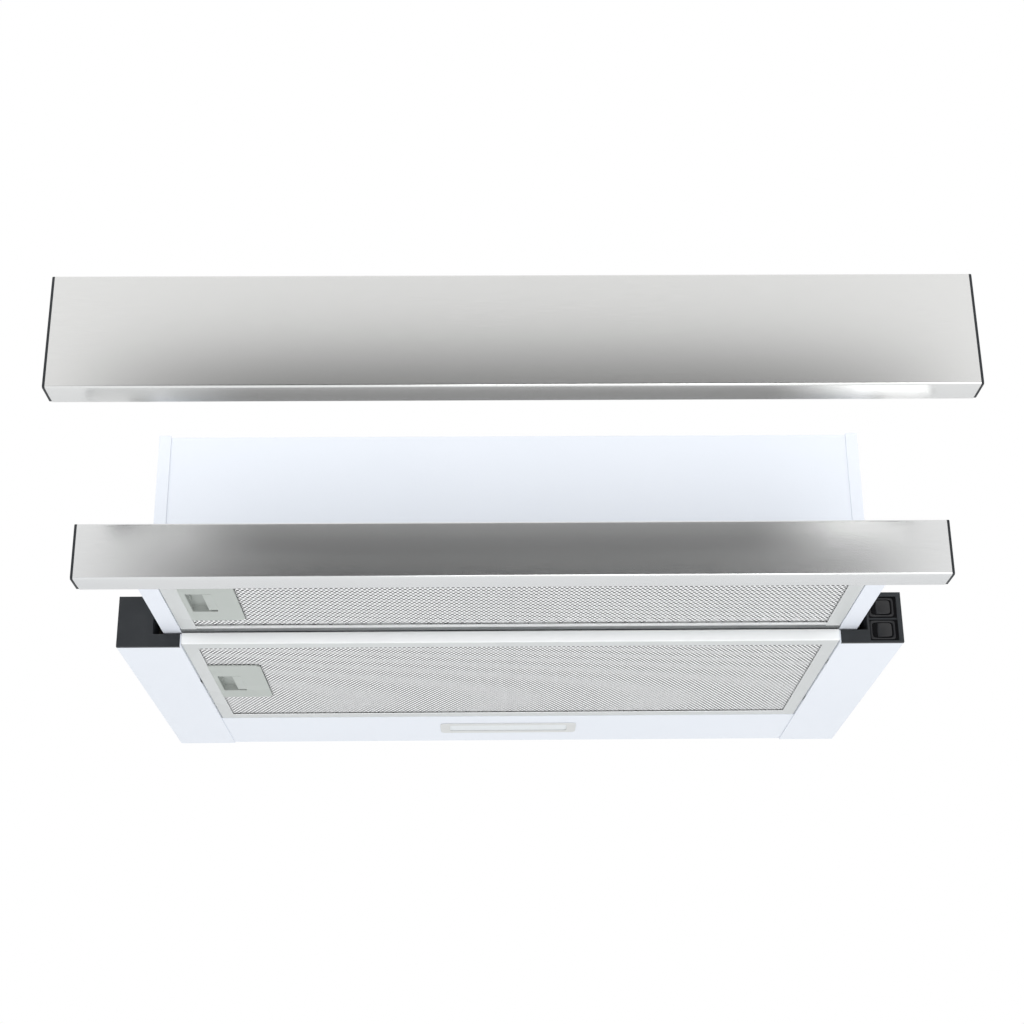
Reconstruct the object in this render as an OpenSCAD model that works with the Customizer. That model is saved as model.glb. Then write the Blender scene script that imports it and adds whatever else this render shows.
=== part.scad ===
// Pull-out range hood for a 600 mm wall cupboard, drawn out, with its taller spare fascia in front.
// Millimetres. +X is to the right seen from the front, +Y is to the wall and +Z is up.
// The origin is on the duct spigot's axis, at the seat where the end of the duct stops.

/* [Hood] */
// Width of the upper box, which goes up inside the cupboard
box_w = 556; // [500:1:860]
// Width of the ledge on each side, which laps the cupboard's lower edge
ledge_w = 21; // [18:0.5:26]
// Depth of the rear panel, which holds the light
light_panel_d = 85; // [80:1:110]
// Height from the underside of the base to the top panel
body_h = 175; // [172:1:220]
// Height of the base, which stays below the cupboard
base_h = 40; // [38:1:50]
// Set-back of the upper box behind the front blocks
box_setback = 4.5; // [4:0.5:10]
// Thickness of the painted steel sheet
sheet_t = 1; // [0.8:0.1:1.2]
// Width of the side panels' edge flanges, which lap the front panel
flange_w = 9.5; // [6:0.5:16]
// Height of the side panels above the top panel
side_lip = 1.2; // [0:0.1:3]

/* [Fixing] */
// How far the spigot's axis is behind the middle of the base
spigot_back = 1; // [0:1:12]
// Radius of the screw holes in the side panels
fixing_r = 2.5; // [2:0.25:3.5]
// Distance between the two screw holes of a side panel
fixing_pitch = 200; // [120:5:220]
// Height of those holes above the base
fixing_rise = 60; // [30:5:100]

/* [Drawer] */
// How far the drawer comes out
drawer_travel = 132; // [130:1:140]
// Width of a drawer side, seen from below
rail_w = 14; // [10:1:18]
// Space for the telescopic slide between the drawer side and the box
slide_t = 13; // [12:0.5:14]
// Gap between the shut drawer's back and the front blocks
closed_gap = 1.5; // [1:0.1:4]
// Gap between the drawer and the filter that it passes over
drawer_gap = 1; // [0.8:0.1:2]
// Gap between the drawer and the underside of the box
drawer_top_gap = 2; // [1:0.5:4]

/* [Fascias] */
// Depth of a fascia from its face to its back edge
fascia_d = 22; // [16:1:30]
// Thickness of the stainless sheet
fascia_t = 0.8; // [0.6:0.1:1.2]
// Bend radius of the sheet, outside
fascia_bend = 1.6; // [1.3:0.1:3]
// Thickness of a plastic end cap
cap_t = 1.8; // [1:0.1:4]
// Height of the taller, spare fascia
spare_h = 80; // [60:1:120]
// How far the spare fascia's face is in front of the fitted one
spare_ahead = 112; // [60:1:160]
// Height of the spare fascia above the fitted one
spare_above = 49; // [10:1:120]

/* [Filters] */
// Thickness of a filter cassette
filter_t = 9; // [8:0.5:12]
// Width of a cassette's visible border
border_w = 11.5; // [8:0.5:16]
// Depth of the fixed, rear cassette
rear_filter_d = 215; // [205:1:260]
// Gap round a cassette
filter_gap = 1; // [0.8:0.1:2]
// Thickness of the aluminium that the borders are folded from
filter_sheet = 1; // [0.6:0.1:1.2]
// Thickness of the perforated sheet
mesh_t = 0.5; // [0.4:0.1:1]
// Length of the window in a latch plate, from front to back
window_l = 42; // [30:1:50]
// Width of a latch plate
latch_w = 40; // [34:1:60]

/* [Light] */
// Width of the lens that shows
lens_w = 104; // [60:0.5:200]
// Depth of the lens that shows
lens_d = 19.5; // [12:0.5:30]
// Width of the bezel's rim at each end of the lens
bezel_end = 8.25; // [5:0.25:14]
// Width of the bezel's rim in front of and behind the lens
bezel_side = 5.75; // [4:0.25:10]
// Distance from the light's middle to the wall
light_to_wall = 46.5; // [34:0.5:54]

/* [Blower] */
// Outer radius of the duct spigot
spigot_r = 59.5; // [55:0.5:62]
// Height of the spigot above its seat
spigot_h = 36; // [24:1:60]
// Radius of the impeller
impeller_r = 48; // [36:1:50]
// Width of the blower scroll
scroll_w = 118; // [80:1:124]
// Number of blades
blade_count = 32; // [20:1:40]

/* [Hidden] */
$fn = 64;
cut = 1;
fit = 0.1;
run_gap = 0.3;
bend_steps = 5;

// Planes of the housing
box_half = box_w / 2;
box_in = box_half - sheet_t;
half_w = box_half + ledge_w;
body_d = rear_filter_d + light_panel_d + 2 * sheet_t;
spigot_flange_t = 2;
top_z = -spigot_flange_t;
top_in_z = top_z - sheet_t;
side_top_z = top_z + side_lip;
base_z = top_z - body_h;
base_top_z = base_z + base_h;
rear_y = body_d / 2 - spigot_back;
rear_in_y = rear_y - sheet_t;
front_y = rear_y - body_d;
box_front_y = front_y + box_setback;
box_front_in_y = box_front_y + 2 * sheet_t;

// Planes of the drawer, drawn out
drawer_out = box_in - slide_t;
drawer_in = drawer_out - rail_w;
filter_half = drawer_in - filter_gap;
filter_z = base_z + sheet_t;
sill_z = filter_z + filter_t;
drawer_z = sill_z + drawer_gap;
drawer_top_z = base_top_z - drawer_top_gap;
drawer_front_y = front_y - closed_gap - drawer_travel;
fascia_y = drawer_front_y - fascia_d;

// Base channels and their inner lips
channel_in = drawer_in;
lip_in = channel_in + sheet_t;
rear_filter_y = front_y + 1.5 * sheet_t;
light_front_y = rear_filter_y + rear_filter_d + sheet_t / 2;

// Front filter, from just behind the drawer's front rail to just short of the front blocks
front_sill = 1.5;
front_filter_back = 8;
front_filter_y = drawer_front_y + front_sill;
front_filter_d = front_y - front_filter_back - front_filter_y;

// End blocks
block_face_t = 3;
block_d = 28;
block_wall = 1.8;
block_rear_y = front_y + block_d;
notch_reach = 8;
notch_x = drawer_out + notch_reach;
notch_wall = 1.5;
notch_head = 0.5;
bay_x = notch_x + notch_wall;
bay_rim = 3.5;
bay_rim_low = 1.4;
bay_rim_top = 3.3;
bay_end_x = half_w - bay_rim;
bay_z = base_z + bay_rim_low;
bay_end_z = base_top_z - bay_rim_top;
bay_mid_x = (bay_x + bay_end_x) / 2;
bay_depth = 1.5;

// Rocker switches, which share the height of the bay
switch_wall = 0.9;
switch_lip = 0.6;
switch_side_gap = 0.6;
switch_end_gap = 0.95;
switch_mid_gap = 3;
switch_frame = [bay_end_x - bay_x - 2 * switch_side_gap,
                (bay_end_z - bay_z - 2 * switch_end_gap - switch_mid_gap) / 2];
switch_body = switch_frame - 2 * [switch_lip, switch_lip];
switch_well = switch_body - 2 * [switch_wall, switch_wall];
switch_frame_t = 1;
switch_body_d = 14;
switch_well_d = 8;
switch_places = [bay_end_z - switch_end_gap - switch_frame[1] / 2,
                 bay_z + switch_end_gap + switch_frame[1] / 2];
rocker_swing = 1.3;
rocker_w = switch_well[0] - rocker_swing;
rocker_h = switch_well[1] - 2 * run_gap;
rocker_rise = 3.9;
rocker_dish = 0.7;
rocker_root = 1.5;
rocker_foot_in = 2.25;
rocker_foot_w = rocker_w - 2 * rocker_foot_in;
rocker_tilt = 8;
rocker_pin_r = 0.8;
rocker_pin_gap = 0.06;
rocker_pin_l = 0.8;
rocker_inset = 3;
rocker_y = front_y + bay_depth + rocker_inset;

// Telescopic slides
slide_sheet = 1.2;
slide_bare = 4;
slide_reach = slide_t - slide_bare;
slide_inner_bare = 6;
slide_inner_reach = slide_t - slide_inner_bare;
ball_gap = 3.2;
ball_r = ball_gap / 2 - run_gap;
slide_y = block_rear_y + run_gap;
slide_back = 12.7;
slide_l = rear_in_y - slide_back - slide_y;
ball_x = drawer_out + slide_inner_reach - ball_gap / 2;
cage_t = 0.8;
cage_l = 120;
cage_gap = 1;
cage_y = slide_y + cage_gap;
cage_x = drawer_out + slide_inner_reach + cage_gap;
ball_count = 8;
slide_low_z = drawer_z + slide_sheet + ball_gap;
slide_high_z = drawer_top_z - slide_sheet - ball_gap;

// Switch that the shut drawer presses
sensor_d = 12;
sensor_out = 2;
sensor_w = 12;
sensor_h = 20;
sensor_button_r = 1.5;
sensor_bore_gap = 0.08;
sensor_bore_d = 7;
sensor_button_l = 5;
sensor_x = (drawer_in + drawer_out) / 2;
sensor_z = (drawer_z + drawer_top_z) / 2;
sensor_y = rear_in_y - sensor_d;
drawer_back_y = sensor_y - sensor_out - run_gap - drawer_travel;

// Fixed parts of the drawer
front_rail_t = 1.2;
drawer_hook_h = 9;
cover_lap = 8;
drawer_cover_y = box_front_y + cover_lap;

// Filter details. The front filter's border is narrower at the back.
narrow_border = 6;
tab_share = [0.25, 0.75];
tab_w = 12;
tab_out = 4;
tab_t = 1.5;
tab_rise = sheet_t + run_gap;
slot_side = 1;
slot_h = 6;
latch_share = 0.4675;
latch_r = 5;
window_in = 2.6;
window_margin = 24;
latch_l = window_l + 2 * window_margin;
cup_w = 12.5;
cup_wall = 1;
cup_depth = 6;
latch_travel = 5;
thumb_w = 7;
thumb_t = 0.6;
bolt_w = 12;
bolt_z = 3;
bolt_t = 2;
bolt_gap = 0.5;
core_gap = 0.2;
pleat_t = 0.6;
pleat_count = 40;

// Light
light_w = lens_w + 2 * bezel_end;
light_d = lens_d + 2 * bezel_side;
bezel_t = 0.8;
bezel_r = 4;
lens_r = 3;
lens_t = 1.5;
lens_ledge = 1.5;
lamp_wall = 1.2;
lamp_rise = 7;
board_t = 1.6;
led_count = 6;
led_size = 3;
led_h = 0.9;
light_y = rear_y - light_to_wall;
panel_top_z = filter_z + sheet_t;
driver_size = [80, 34, 20];
driver_gap = 40;
driver_x = light_w / 2 + driver_gap;

// Spigot and backdraft flaps
spigot_wall = 1.8;
spigot_in = spigot_r - spigot_wall;
spigot_flange = 152;
damper_z = 10;
damper_bar_w = 4;
damper_bar_h = 4;
barrel_r = 1.8;
barrel_gap = 0.4;
damper_y = damper_bar_w / 2 + barrel_gap + barrel_r;
flap_t = 1.2;
flap_gap = 1.1;
flap_pin_r = 1.2;
flap_pin_gap = 0.06;
barrel_short = 5.7;
barrel_half = spigot_in - barrel_short;
stop_w = 8;
stop_reach = 4;
stop_h = 2;

// Blower scroll, seen from the right with +Y to the right and +Z up
scroll_wall = 1;
scroll_clear = 4;
scroll_min = impeller_r + scroll_clear;
scroll_grow = 22;
scroll_max = scroll_min + scroll_grow;
tongue_angle = 100;
outlet_half = (scroll_max - scroll_min * cos(tongue_angle)) / 2;
outlet_neck = 12;
blower_y = outlet_half - scroll_max;
blower_z = top_in_z - outlet_neck - scroll_min;
spiral_steps = 30;
outlet_half_x = scroll_w / 2;
inlet_lap = 6;
inlet_r = impeller_r - inlet_lap;
blade_depth = 9;
blade_t = 0.8;
blade_lean = 14;
impeller_half = outlet_half_x - scroll_clear;
ring_t = 2;
hub_r = 12;
hub_half = 9;
shaft_r = 3;
bearing_gap = 0.05;
motor_r = 36;
motor_l = 44;
motor_gap = 15;
motor_x = outlet_half_x + scroll_wall + motor_gap;
motor_edge = 3;
arm_w = 10;
arm_t = 2;
arm_count = 3;
arm_r = inlet_r + inlet_lap;
arm_ring_r = 16;
foot_l = 8;

// Electrical parts on the top panel
gland_r = 9;
gland_bore_r = 4;
gland_up = 9;
gland_down = 5;
gland_thread_r = 7;
terminal_size = [64, 56, 30];
terminal_in = 70;
terminal_back = 60;
terminal_x = -box_in + terminal_in;
terminal_y = rear_in_y - terminal_back;
capacitor_r = 15;
capacitor_l = 48;
capacitor_out = 60;
capacitor_x = -outlet_half_x - capacitor_out;
capacitor_y = -20;
saddle_w = 14;

// Screws
screw_head_r = 3.6;
screw_head_h = 2;
screw_r = 1.9;
screw_hole_r = 2.1;
screw_l = 8;
screw_inset = 9;
spigot_screw = spigot_flange / 2 - screw_inset;
stud_r = 4;
stud_rise_share = 0.75;
stud_rise = stud_rise_share * base_h;
stud_share = [-0.72, -0.24, 0.24, 0.72];
stud_screw_l = 7;

// A block between two corners
module block(lo, hi) {
    translate(lo) cube(hi - lo);
}

// A flat (Y, Z) shape carried along X, and a flat (X, Z) shape carried along Y
module along_x(x0, x1) {
    translate([x0, 0, 0]) rotate([90, 0, 90]) linear_extrude(x1 - x0) children();
}
module along_y(y0, y1) {
    translate([0, y1, 0]) rotate([90, 0, 0]) linear_extrude(y1 - y0) children();
}

// Round bars along X, Y and Z
module bar_x(r, x0, x1, y, z) {
    translate([x0, y, z]) rotate([0, 90, 0]) cylinder(r = r, h = x1 - x0);
}
module bar_y(r, y0, y1, x, z) {
    translate([x, y0, z]) rotate([-90, 0, 0]) cylinder(r = r, h = y1 - y0);
}
module bar_z(r, z0, z1, x, y) {
    translate([x, y, z0]) cylinder(r = r, h = z1 - z0);
}

// The left-hand piece of a pair that is drawn on the right
module left() {
    mirror([1, 0, 0]) children();
}

// Points of an arc, and of a rectangle with round corners
function turn(c, r, from, to) =
    [for (i = [0 : bend_steps]) let (a = from + (to - from) * i / bend_steps) c + r * [cos(a), sin(a)]];
function round_rect(w, d, r) = concat(
    turn([w / 2 - r, d / 2 - r], r, 0, 90),
    turn([r - w / 2, d / 2 - r], r, 90, 180),
    turn([r - w / 2, r - d / 2], r, 180, 270),
    turn([w / 2 - r, r - d / 2], r, 270, 360));

// Upper box: two side panels whose front flanges lap the front panel
module side_panel() {
    difference() {
        union() {
            block([box_in, box_front_y, filter_z], [box_half, rear_y, side_top_z]);
            block([box_half - flange_w, box_front_y, base_top_z],
                  [box_half, box_front_y + sheet_t, side_top_z]);
        }
        block([box_in - cut, box_front_y - cut, base_z], [box_half + cut, block_rear_y, base_top_z]);
        for (side = [-1, 1])
            bar_x(fixing_r, box_in - cut, box_half + cut, side * fixing_pitch / 2, base_top_z + fixing_rise);
    }
}
module left_side_panel() color([0.92, 0.94, 0.98]) left() side_panel();
module right_side_panel() color([0.92, 0.94, 0.98]) side_panel();

// Front panel with a folded lower edge above the drawer
panel_fold = 12;
module front_panel() color([0.93, 0.95, 0.99]) {
    block([-box_in, box_front_y + sheet_t, base_top_z], [box_in, box_front_in_y, top_z]);
    block([-box_in, box_front_y + sheet_t, base_top_z],
          [box_in, box_front_in_y + panel_fold, base_top_z + sheet_t]);
}

module back_panel() color([0.9, 0.92, 0.96])
    block([-box_in, rear_in_y, panel_top_z], [box_in, rear_y, top_z]);

module top_panel() color([0.9, 0.92, 0.96]) difference() {
    block([-box_in, box_front_in_y, top_in_z], [box_in, rear_in_y, top_z]);
    block([-outlet_half_x, -outlet_half, top_in_z - cut], [outlet_half_x, outlet_half, top_z + cut]);
    bar_z(gland_thread_r, top_in_z - cut, top_z + cut, terminal_x, terminal_y);
    for (x = [-1, 1], y = [-1, 1])
        bar_z(screw_hole_r, top_in_z - cut, top_z + cut, x * spigot_screw, y * spigot_screw);
}

// Base: two folded channels, wider than the box, with a ledge on top and a lip beside the filter
module base_channel(slots) {
    channel_y = front_y + block_face_t;
    difference() {
        union() {
            block([channel_in, channel_y, base_z], [half_w, rear_y, filter_z]);
            block([channel_in, front_y, base_z], [lip_in, light_front_y, sill_z]);
            block([half_w - sheet_t, channel_y, base_z], [half_w, rear_y, base_top_z]);
            block([box_half, channel_y, base_top_z - sheet_t], [half_w, rear_y, base_top_z]);
            block([box_half, rear_in_y, base_z], [half_w, rear_y, base_top_z]);
        }
        for (y = slots)
            block([channel_in - cut, y - tab_w / 2 - slot_side, filter_z],
                  [lip_in + cut, y + tab_w / 2 + slot_side, filter_z + slot_h]);
    }
}
function tab_places(y0, d) = [for (s = tab_share) y0 + s * d];
function latch_place(y0, d) = y0 + latch_share * d;
module left_base_channel() color([0.92, 0.94, 0.98])
    left() base_channel([latch_place(rear_filter_y, rear_filter_d)]);
module right_base_channel() color([0.92, 0.94, 0.98])
    base_channel(tab_places(rear_filter_y, rear_filter_d));

// Rear panel under the box, with the cut-out for the light and a turned-up front edge
panel_lap = 12;
module light_panel() color([0.92, 0.94, 0.98]) difference() {
    union() {
        block([-channel_in - panel_lap, light_front_y, filter_z],
              [channel_in + panel_lap, rear_y, panel_top_z]);
        block([-filter_half, light_front_y, filter_z], [filter_half, light_front_y + sheet_t, sill_z]);
    }
    translate([0, light_y, filter_z - cut]) linear_extrude(sheet_t + 2 * cut)
        square([lamp_w + 2 * fit, lamp_d + 2 * fit], center = true);
}

// Dark plastic blocks that close the front ends of the base. The drawer side passes through the notch.
module end_block_form() {
    difference() {
        union() {
            block([lip_in, front_y, base_z], [half_w, front_y + block_face_t, base_top_z]);
            block([notch_x, front_y + block_face_t, filter_z + fit],
                  [half_w - sheet_t - fit, block_rear_y - fit, base_top_z - sheet_t - fit]);
        }
        block([lip_in - cut, front_y - cut, sill_z],
              [notch_x, front_y + block_face_t + cut, drawer_top_z + notch_head]);
        block([notch_x + notch_wall, front_y + block_face_t, filter_z + block_wall],
              [half_w - sheet_t - block_wall, block_rear_y + cut, base_top_z - sheet_t - block_wall]);
    }
}
module left_end_block() color([0.23, 0.24, 0.25]) left() end_block_form();

// The right block has a sunk bay with two stacked rocker switches
module right_switch_block() color([0.23, 0.24, 0.25]) difference() {
    end_block_form();
    block([bay_x, front_y - cut, bay_z], [bay_end_x, front_y + bay_depth, bay_end_z]);
    for (z = switch_places)
        block([bay_mid_x - switch_body[0] / 2 - fit, front_y - cut, z - switch_body[1] / 2 - fit],
              [bay_mid_x + switch_body[0] / 2 + fit, front_y + block_face_t + cut,
               z + switch_body[1] / 2 + fit]);
}
module switch_bodies() color([0.16, 0.16, 0.17]) for (z = switch_places) difference() {
    floor_y = front_y + bay_depth;
    union() {
        block([bay_mid_x - switch_frame[0] / 2, floor_y - switch_frame_t, z - switch_frame[1] / 2],
              [bay_mid_x + switch_frame[0] / 2, floor_y, z + switch_frame[1] / 2]);
        block([bay_mid_x - switch_body[0] / 2, floor_y - switch_frame_t, z - switch_body[1] / 2],
              [bay_mid_x + switch_body[0] / 2, floor_y + switch_body_d, z + switch_body[1] / 2]);
    }
    block([bay_mid_x - switch_well[0] / 2, floor_y - cut - switch_frame_t, z - switch_well[1] / 2],
          [bay_mid_x + switch_well[0] / 2, floor_y + switch_well_d, z + switch_well[1] / 2]);
    bar_z(rocker_pin_r + rocker_pin_gap, z - switch_body[1] / 2 - cut, z + switch_body[1] / 2 + cut,
          bay_mid_x, rocker_y);
}

// A rocker turns on two short pins. Its dished face is drawn with the left end pressed in.
function rocker_outline() = concat(
    [[-rocker_foot_w / 2, rocker_root]],
    [for (i = [-bend_steps : bend_steps]) let (s = i / bend_steps)
        [s * rocker_w / 2, -rocker_rise + rocker_dish * (1 - s * s)]],
    [[rocker_foot_w / 2, rocker_root]]);
module rocker(z) {
    translate([bay_mid_x, rocker_y, z]) rotate([0, 0, -rocker_tilt]) {
        translate([0, 0, -rocker_h / 2]) linear_extrude(rocker_h) polygon(rocker_outline());
        translate([0, 0, -rocker_h / 2 - rocker_pin_l])
            cylinder(r = rocker_pin_r, h = rocker_h + 2 * rocker_pin_l);
    }
}
module fan_rocker() color([0.2, 0.2, 0.21]) rocker(switch_places[0]);
module light_rocker() color([0.2, 0.2, 0.21]) rocker(switch_places[1]);

// Light: a bezel with a short tray above the panel, a recessed lens and a board across the tray
lamp_w = lens_w + 2 * (lens_ledge + lamp_wall);
lamp_d = lens_d + 2 * (lens_ledge + lamp_wall);
module light_bezel() color([0.87, 0.87, 0.86]) translate([0, light_y, 0]) difference() {
    union() {
        translate([0, 0, filter_z - bezel_t]) linear_extrude(bezel_t)
            polygon(round_rect(light_w, light_d, bezel_r));
        translate([0, 0, filter_z]) linear_extrude(lamp_rise)
            square([lamp_w, lamp_d], center = true);
    }
    translate([0, 0, filter_z - bezel_t - cut]) linear_extrude(bezel_t + 2 * cut)
        polygon(round_rect(lens_w, lens_d, lens_r));
    translate([0, 0, filter_z]) linear_extrude(lamp_rise + cut)
        square([lamp_w - 2 * lamp_wall, lamp_d - 2 * lamp_wall], center = true);
}
module light_lens() color([0.9, 0.92, 0.94]) translate([0, light_y, filter_z]) linear_extrude(lens_t)
    square([lamp_w - 2 * lamp_wall - 2 * fit, lamp_d - 2 * lamp_wall - 2 * fit], center = true);
module led_board() color([0.85, 0.87, 0.85]) translate([0, light_y, filter_z + lamp_rise]) {
    linear_extrude(board_t) square([lamp_w, lamp_d], center = true);
    for (i = [0 : led_count - 1])
        translate([lens_w * ((i + 0.5) / led_count - 0.5), 0, -led_h / 2])
            cube([led_size, led_size, led_h], center = true);
}
module led_driver() color([0.95, 0.95, 0.95])
    block([driver_x, light_y - driver_size[1] / 2, panel_top_z],
          [driver_x + driver_size[0], light_y + driver_size[1] / 2, panel_top_z + driver_size[2]]);

// Telescopic slides: outer member on the box, ball cage between, and inner member on the rear part of
// the drawer side, behind the end blocks
module slide_outer() {
    for (z = [drawer_z, drawer_top_z - slide_sheet])
        block([box_in - slide_reach, slide_y, z], [box_in, slide_y + slide_l, z + slide_sheet]);
    block([box_in - slide_sheet, slide_y, drawer_z], [box_in, slide_y + slide_l, drawer_top_z]);
}
module slide_inner() {
    y0 = slide_y + run_gap;
    for (z = [slide_low_z, slide_high_z - slide_sheet])
        block([drawer_out, y0, z], [drawer_out + slide_inner_reach, drawer_back_y, z + slide_sheet]);
    block([drawer_out, y0, slide_low_z], [drawer_out + slide_sheet, drawer_back_y, slide_high_z]);
}
module ball_cage() {
    low = drawer_z + slide_sheet + ball_gap / 2;
    high = drawer_top_z - slide_sheet - ball_gap / 2;
    for (z = [low, high]) {
        block([ball_x - ball_r, cage_y, z - cage_t / 2],
              [cage_x + cage_t, cage_y + cage_l, z + cage_t / 2]);
        for (i = [0 : ball_count - 1])
            translate([ball_x, cage_y + cage_l * (i + 0.5) / ball_count, z]) sphere(r = ball_r);
    }
    block([cage_x, cage_y, low - cage_t / 2], [cage_x + cage_t, cage_y + cage_l, high + cage_t / 2]);
}
module left_slide_outer() color([0.7, 0.71, 0.72]) left() slide_outer();
module right_slide_outer() color([0.7, 0.71, 0.72]) slide_outer();
module left_ball_cage() color([0.55, 0.5, 0.35]) left() ball_cage();
module right_ball_cage() color([0.55, 0.5, 0.35]) ball_cage();
module left_slide_inner() color([0.75, 0.76, 0.77]) left() slide_inner();
module right_slide_inner() color([0.75, 0.76, 0.77]) slide_inner();

// Switch at the back of the base whose button the shut drawer presses
module drawer_sensor() color([0.15, 0.15, 0.16]) difference() {
    block([sensor_x - sensor_w / 2, sensor_y, sensor_z - sensor_h / 2],
          [sensor_x + sensor_w / 2, rear_in_y, sensor_z + sensor_h / 2]);
    bar_y(sensor_button_r + sensor_bore_gap, sensor_y - cut, sensor_y + sensor_bore_d, sensor_x, sensor_z);
}
module sensor_button() color([0.8, 0.2, 0.15])
    bar_y(sensor_button_r, sensor_y - sensor_out, sensor_y + sensor_button_l, sensor_x, sensor_z);

// Drawer: folded sides with a lip beside the filter, a front rail in the fascia and a cover on top
module drawer_side(slots) {
    lip_z = drawer_z + drawer_hook_h;
    difference() {
        union() {
            block([drawer_in, drawer_front_y, drawer_z], [drawer_out, drawer_back_y, drawer_z + sheet_t]);
            block([drawer_out - sheet_t, drawer_front_y, drawer_z],
                  [drawer_out, drawer_back_y, drawer_top_z]);
            block([drawer_in, drawer_front_y, drawer_top_z - sheet_t],
                  [drawer_out, drawer_back_y, drawer_top_z]);
            block([drawer_in, drawer_front_y, drawer_z], [drawer_in + sheet_t, front_y, lip_z]);
            block([drawer_in, drawer_back_y - sheet_t, drawer_z], [drawer_out, drawer_back_y, drawer_top_z]);
        }
        for (y = slots)
            block([drawer_in - cut, y - tab_w / 2 - slot_side, drawer_z + sheet_t],
                  [drawer_in + sheet_t + cut, y + tab_w / 2 + slot_side, drawer_z + slot_h]);
    }
}
module drawer_left_side() color([0.92, 0.94, 0.99])
    left() drawer_side([latch_place(front_filter_y, front_filter_d)]);
module drawer_right_side() color([0.92, 0.94, 0.99])
    drawer_side(tab_places(front_filter_y, front_filter_d));
module drawer_front_rail() color([0.8, 0.81, 0.82]) difference() {
    block([-half_w + cap_t, drawer_front_y - front_rail_t, base_z + fascia_t],
          [half_w - cap_t, drawer_front_y, base_top_z - fascia_t]);
    for (s = stud_share)
        bar_y(screw_hole_r, drawer_front_y - front_rail_t - cut, drawer_front_y + cut,
              s * half_w, base_z + stud_rise);
}
module drawer_top_cover() color([0.8, 0.81, 0.82])
    block([-drawer_out + sheet_t, drawer_front_y, drawer_top_z - 2 * sheet_t],
          [drawer_out - sheet_t, drawer_cover_y, drawer_top_z - sheet_t]);

// Fascia: one stainless sheet folded back at the top and bottom, with studs for its screws
function fascia_outline(h) = concat(
    [[fascia_d, h]],
    turn([fascia_bend, h - fascia_bend], fascia_bend, 90, 180),
    turn([fascia_bend, fascia_bend], fascia_bend, 180, 270),
    [[fascia_d, 0], [fascia_d, fascia_t]],
    turn([fascia_bend, fascia_bend], fascia_bend - fascia_t, 270, 180),
    turn([fascia_bend, h - fascia_bend], fascia_bend - fascia_t, 180, 90),
    [[fascia_d, h - fascia_t]]);
module fascia_form(y, z, h) {
    difference() {
        union() {
            translate([0, y, z]) along_x(-half_w + cap_t, half_w - cap_t) polygon(fascia_outline(h));
            for (s = stud_share)
                bar_y(stud_r, y + fascia_t / 2, y + fascia_d - front_rail_t, s * half_w, z + stud_rise);
        }
        for (s = stud_share)
            bar_y(screw_r, y + fascia_d - front_rail_t - stud_screw_l, y + fascia_d,
                  s * half_w, z + stud_rise);
    }
}
cap_lip = 6;
cap_lip_t = 1.2;
module cap_form(y, z, h) {
    translate([0, y, z]) along_x(half_w - cap_t, half_w)
        translate([fascia_d / 2, h / 2]) polygon(round_rect(fascia_d, h, fascia_bend));
    edge = fascia_t + run_gap;
    inner = edge + cap_lip_t;
    difference() {
        block([half_w - cap_t - cap_lip, y + edge, z + edge],
              [half_w - cap_t, y + fascia_d - front_rail_t - run_gap, z + h - edge]);
        block([half_w - cap_t - cap_lip - cut, y + inner, z + inner],
              [half_w - cap_t, y + fascia_d - front_rail_t - run_gap - cap_lip_t, z + h - inner]);
    }
}
spare_y = fascia_y - spare_ahead;
spare_z = base_top_z + spare_above;
module fascia() color([0.72, 0.73, 0.74]) fascia_form(fascia_y, base_z, base_h);
module fascia_left_cap() color([0.2, 0.21, 0.22]) left() cap_form(fascia_y, base_z, base_h);
module fascia_right_cap() color([0.2, 0.21, 0.22]) cap_form(fascia_y, base_z, base_h);
module spare_fascia() color([0.74, 0.75, 0.75]) fascia_form(spare_y, spare_z, spare_h);
module spare_left_cap() color([0.2, 0.21, 0.22]) left() cap_form(spare_y, spare_z, spare_h);
module spare_right_cap() color([0.2, 0.21, 0.22]) cap_form(spare_y, spare_z, spare_h);
module fascia_screws() color([0.75, 0.75, 0.72]) for (s = stud_share) {
    bar_y(screw_head_r, drawer_front_y, drawer_front_y + screw_head_h, s * half_w, base_z + stud_rise);
    bar_y(screw_r, drawer_front_y - front_rail_t - stud_screw_l + fit, drawer_front_y + screw_head_h,
          s * half_w, base_z + stud_rise);
}

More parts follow.
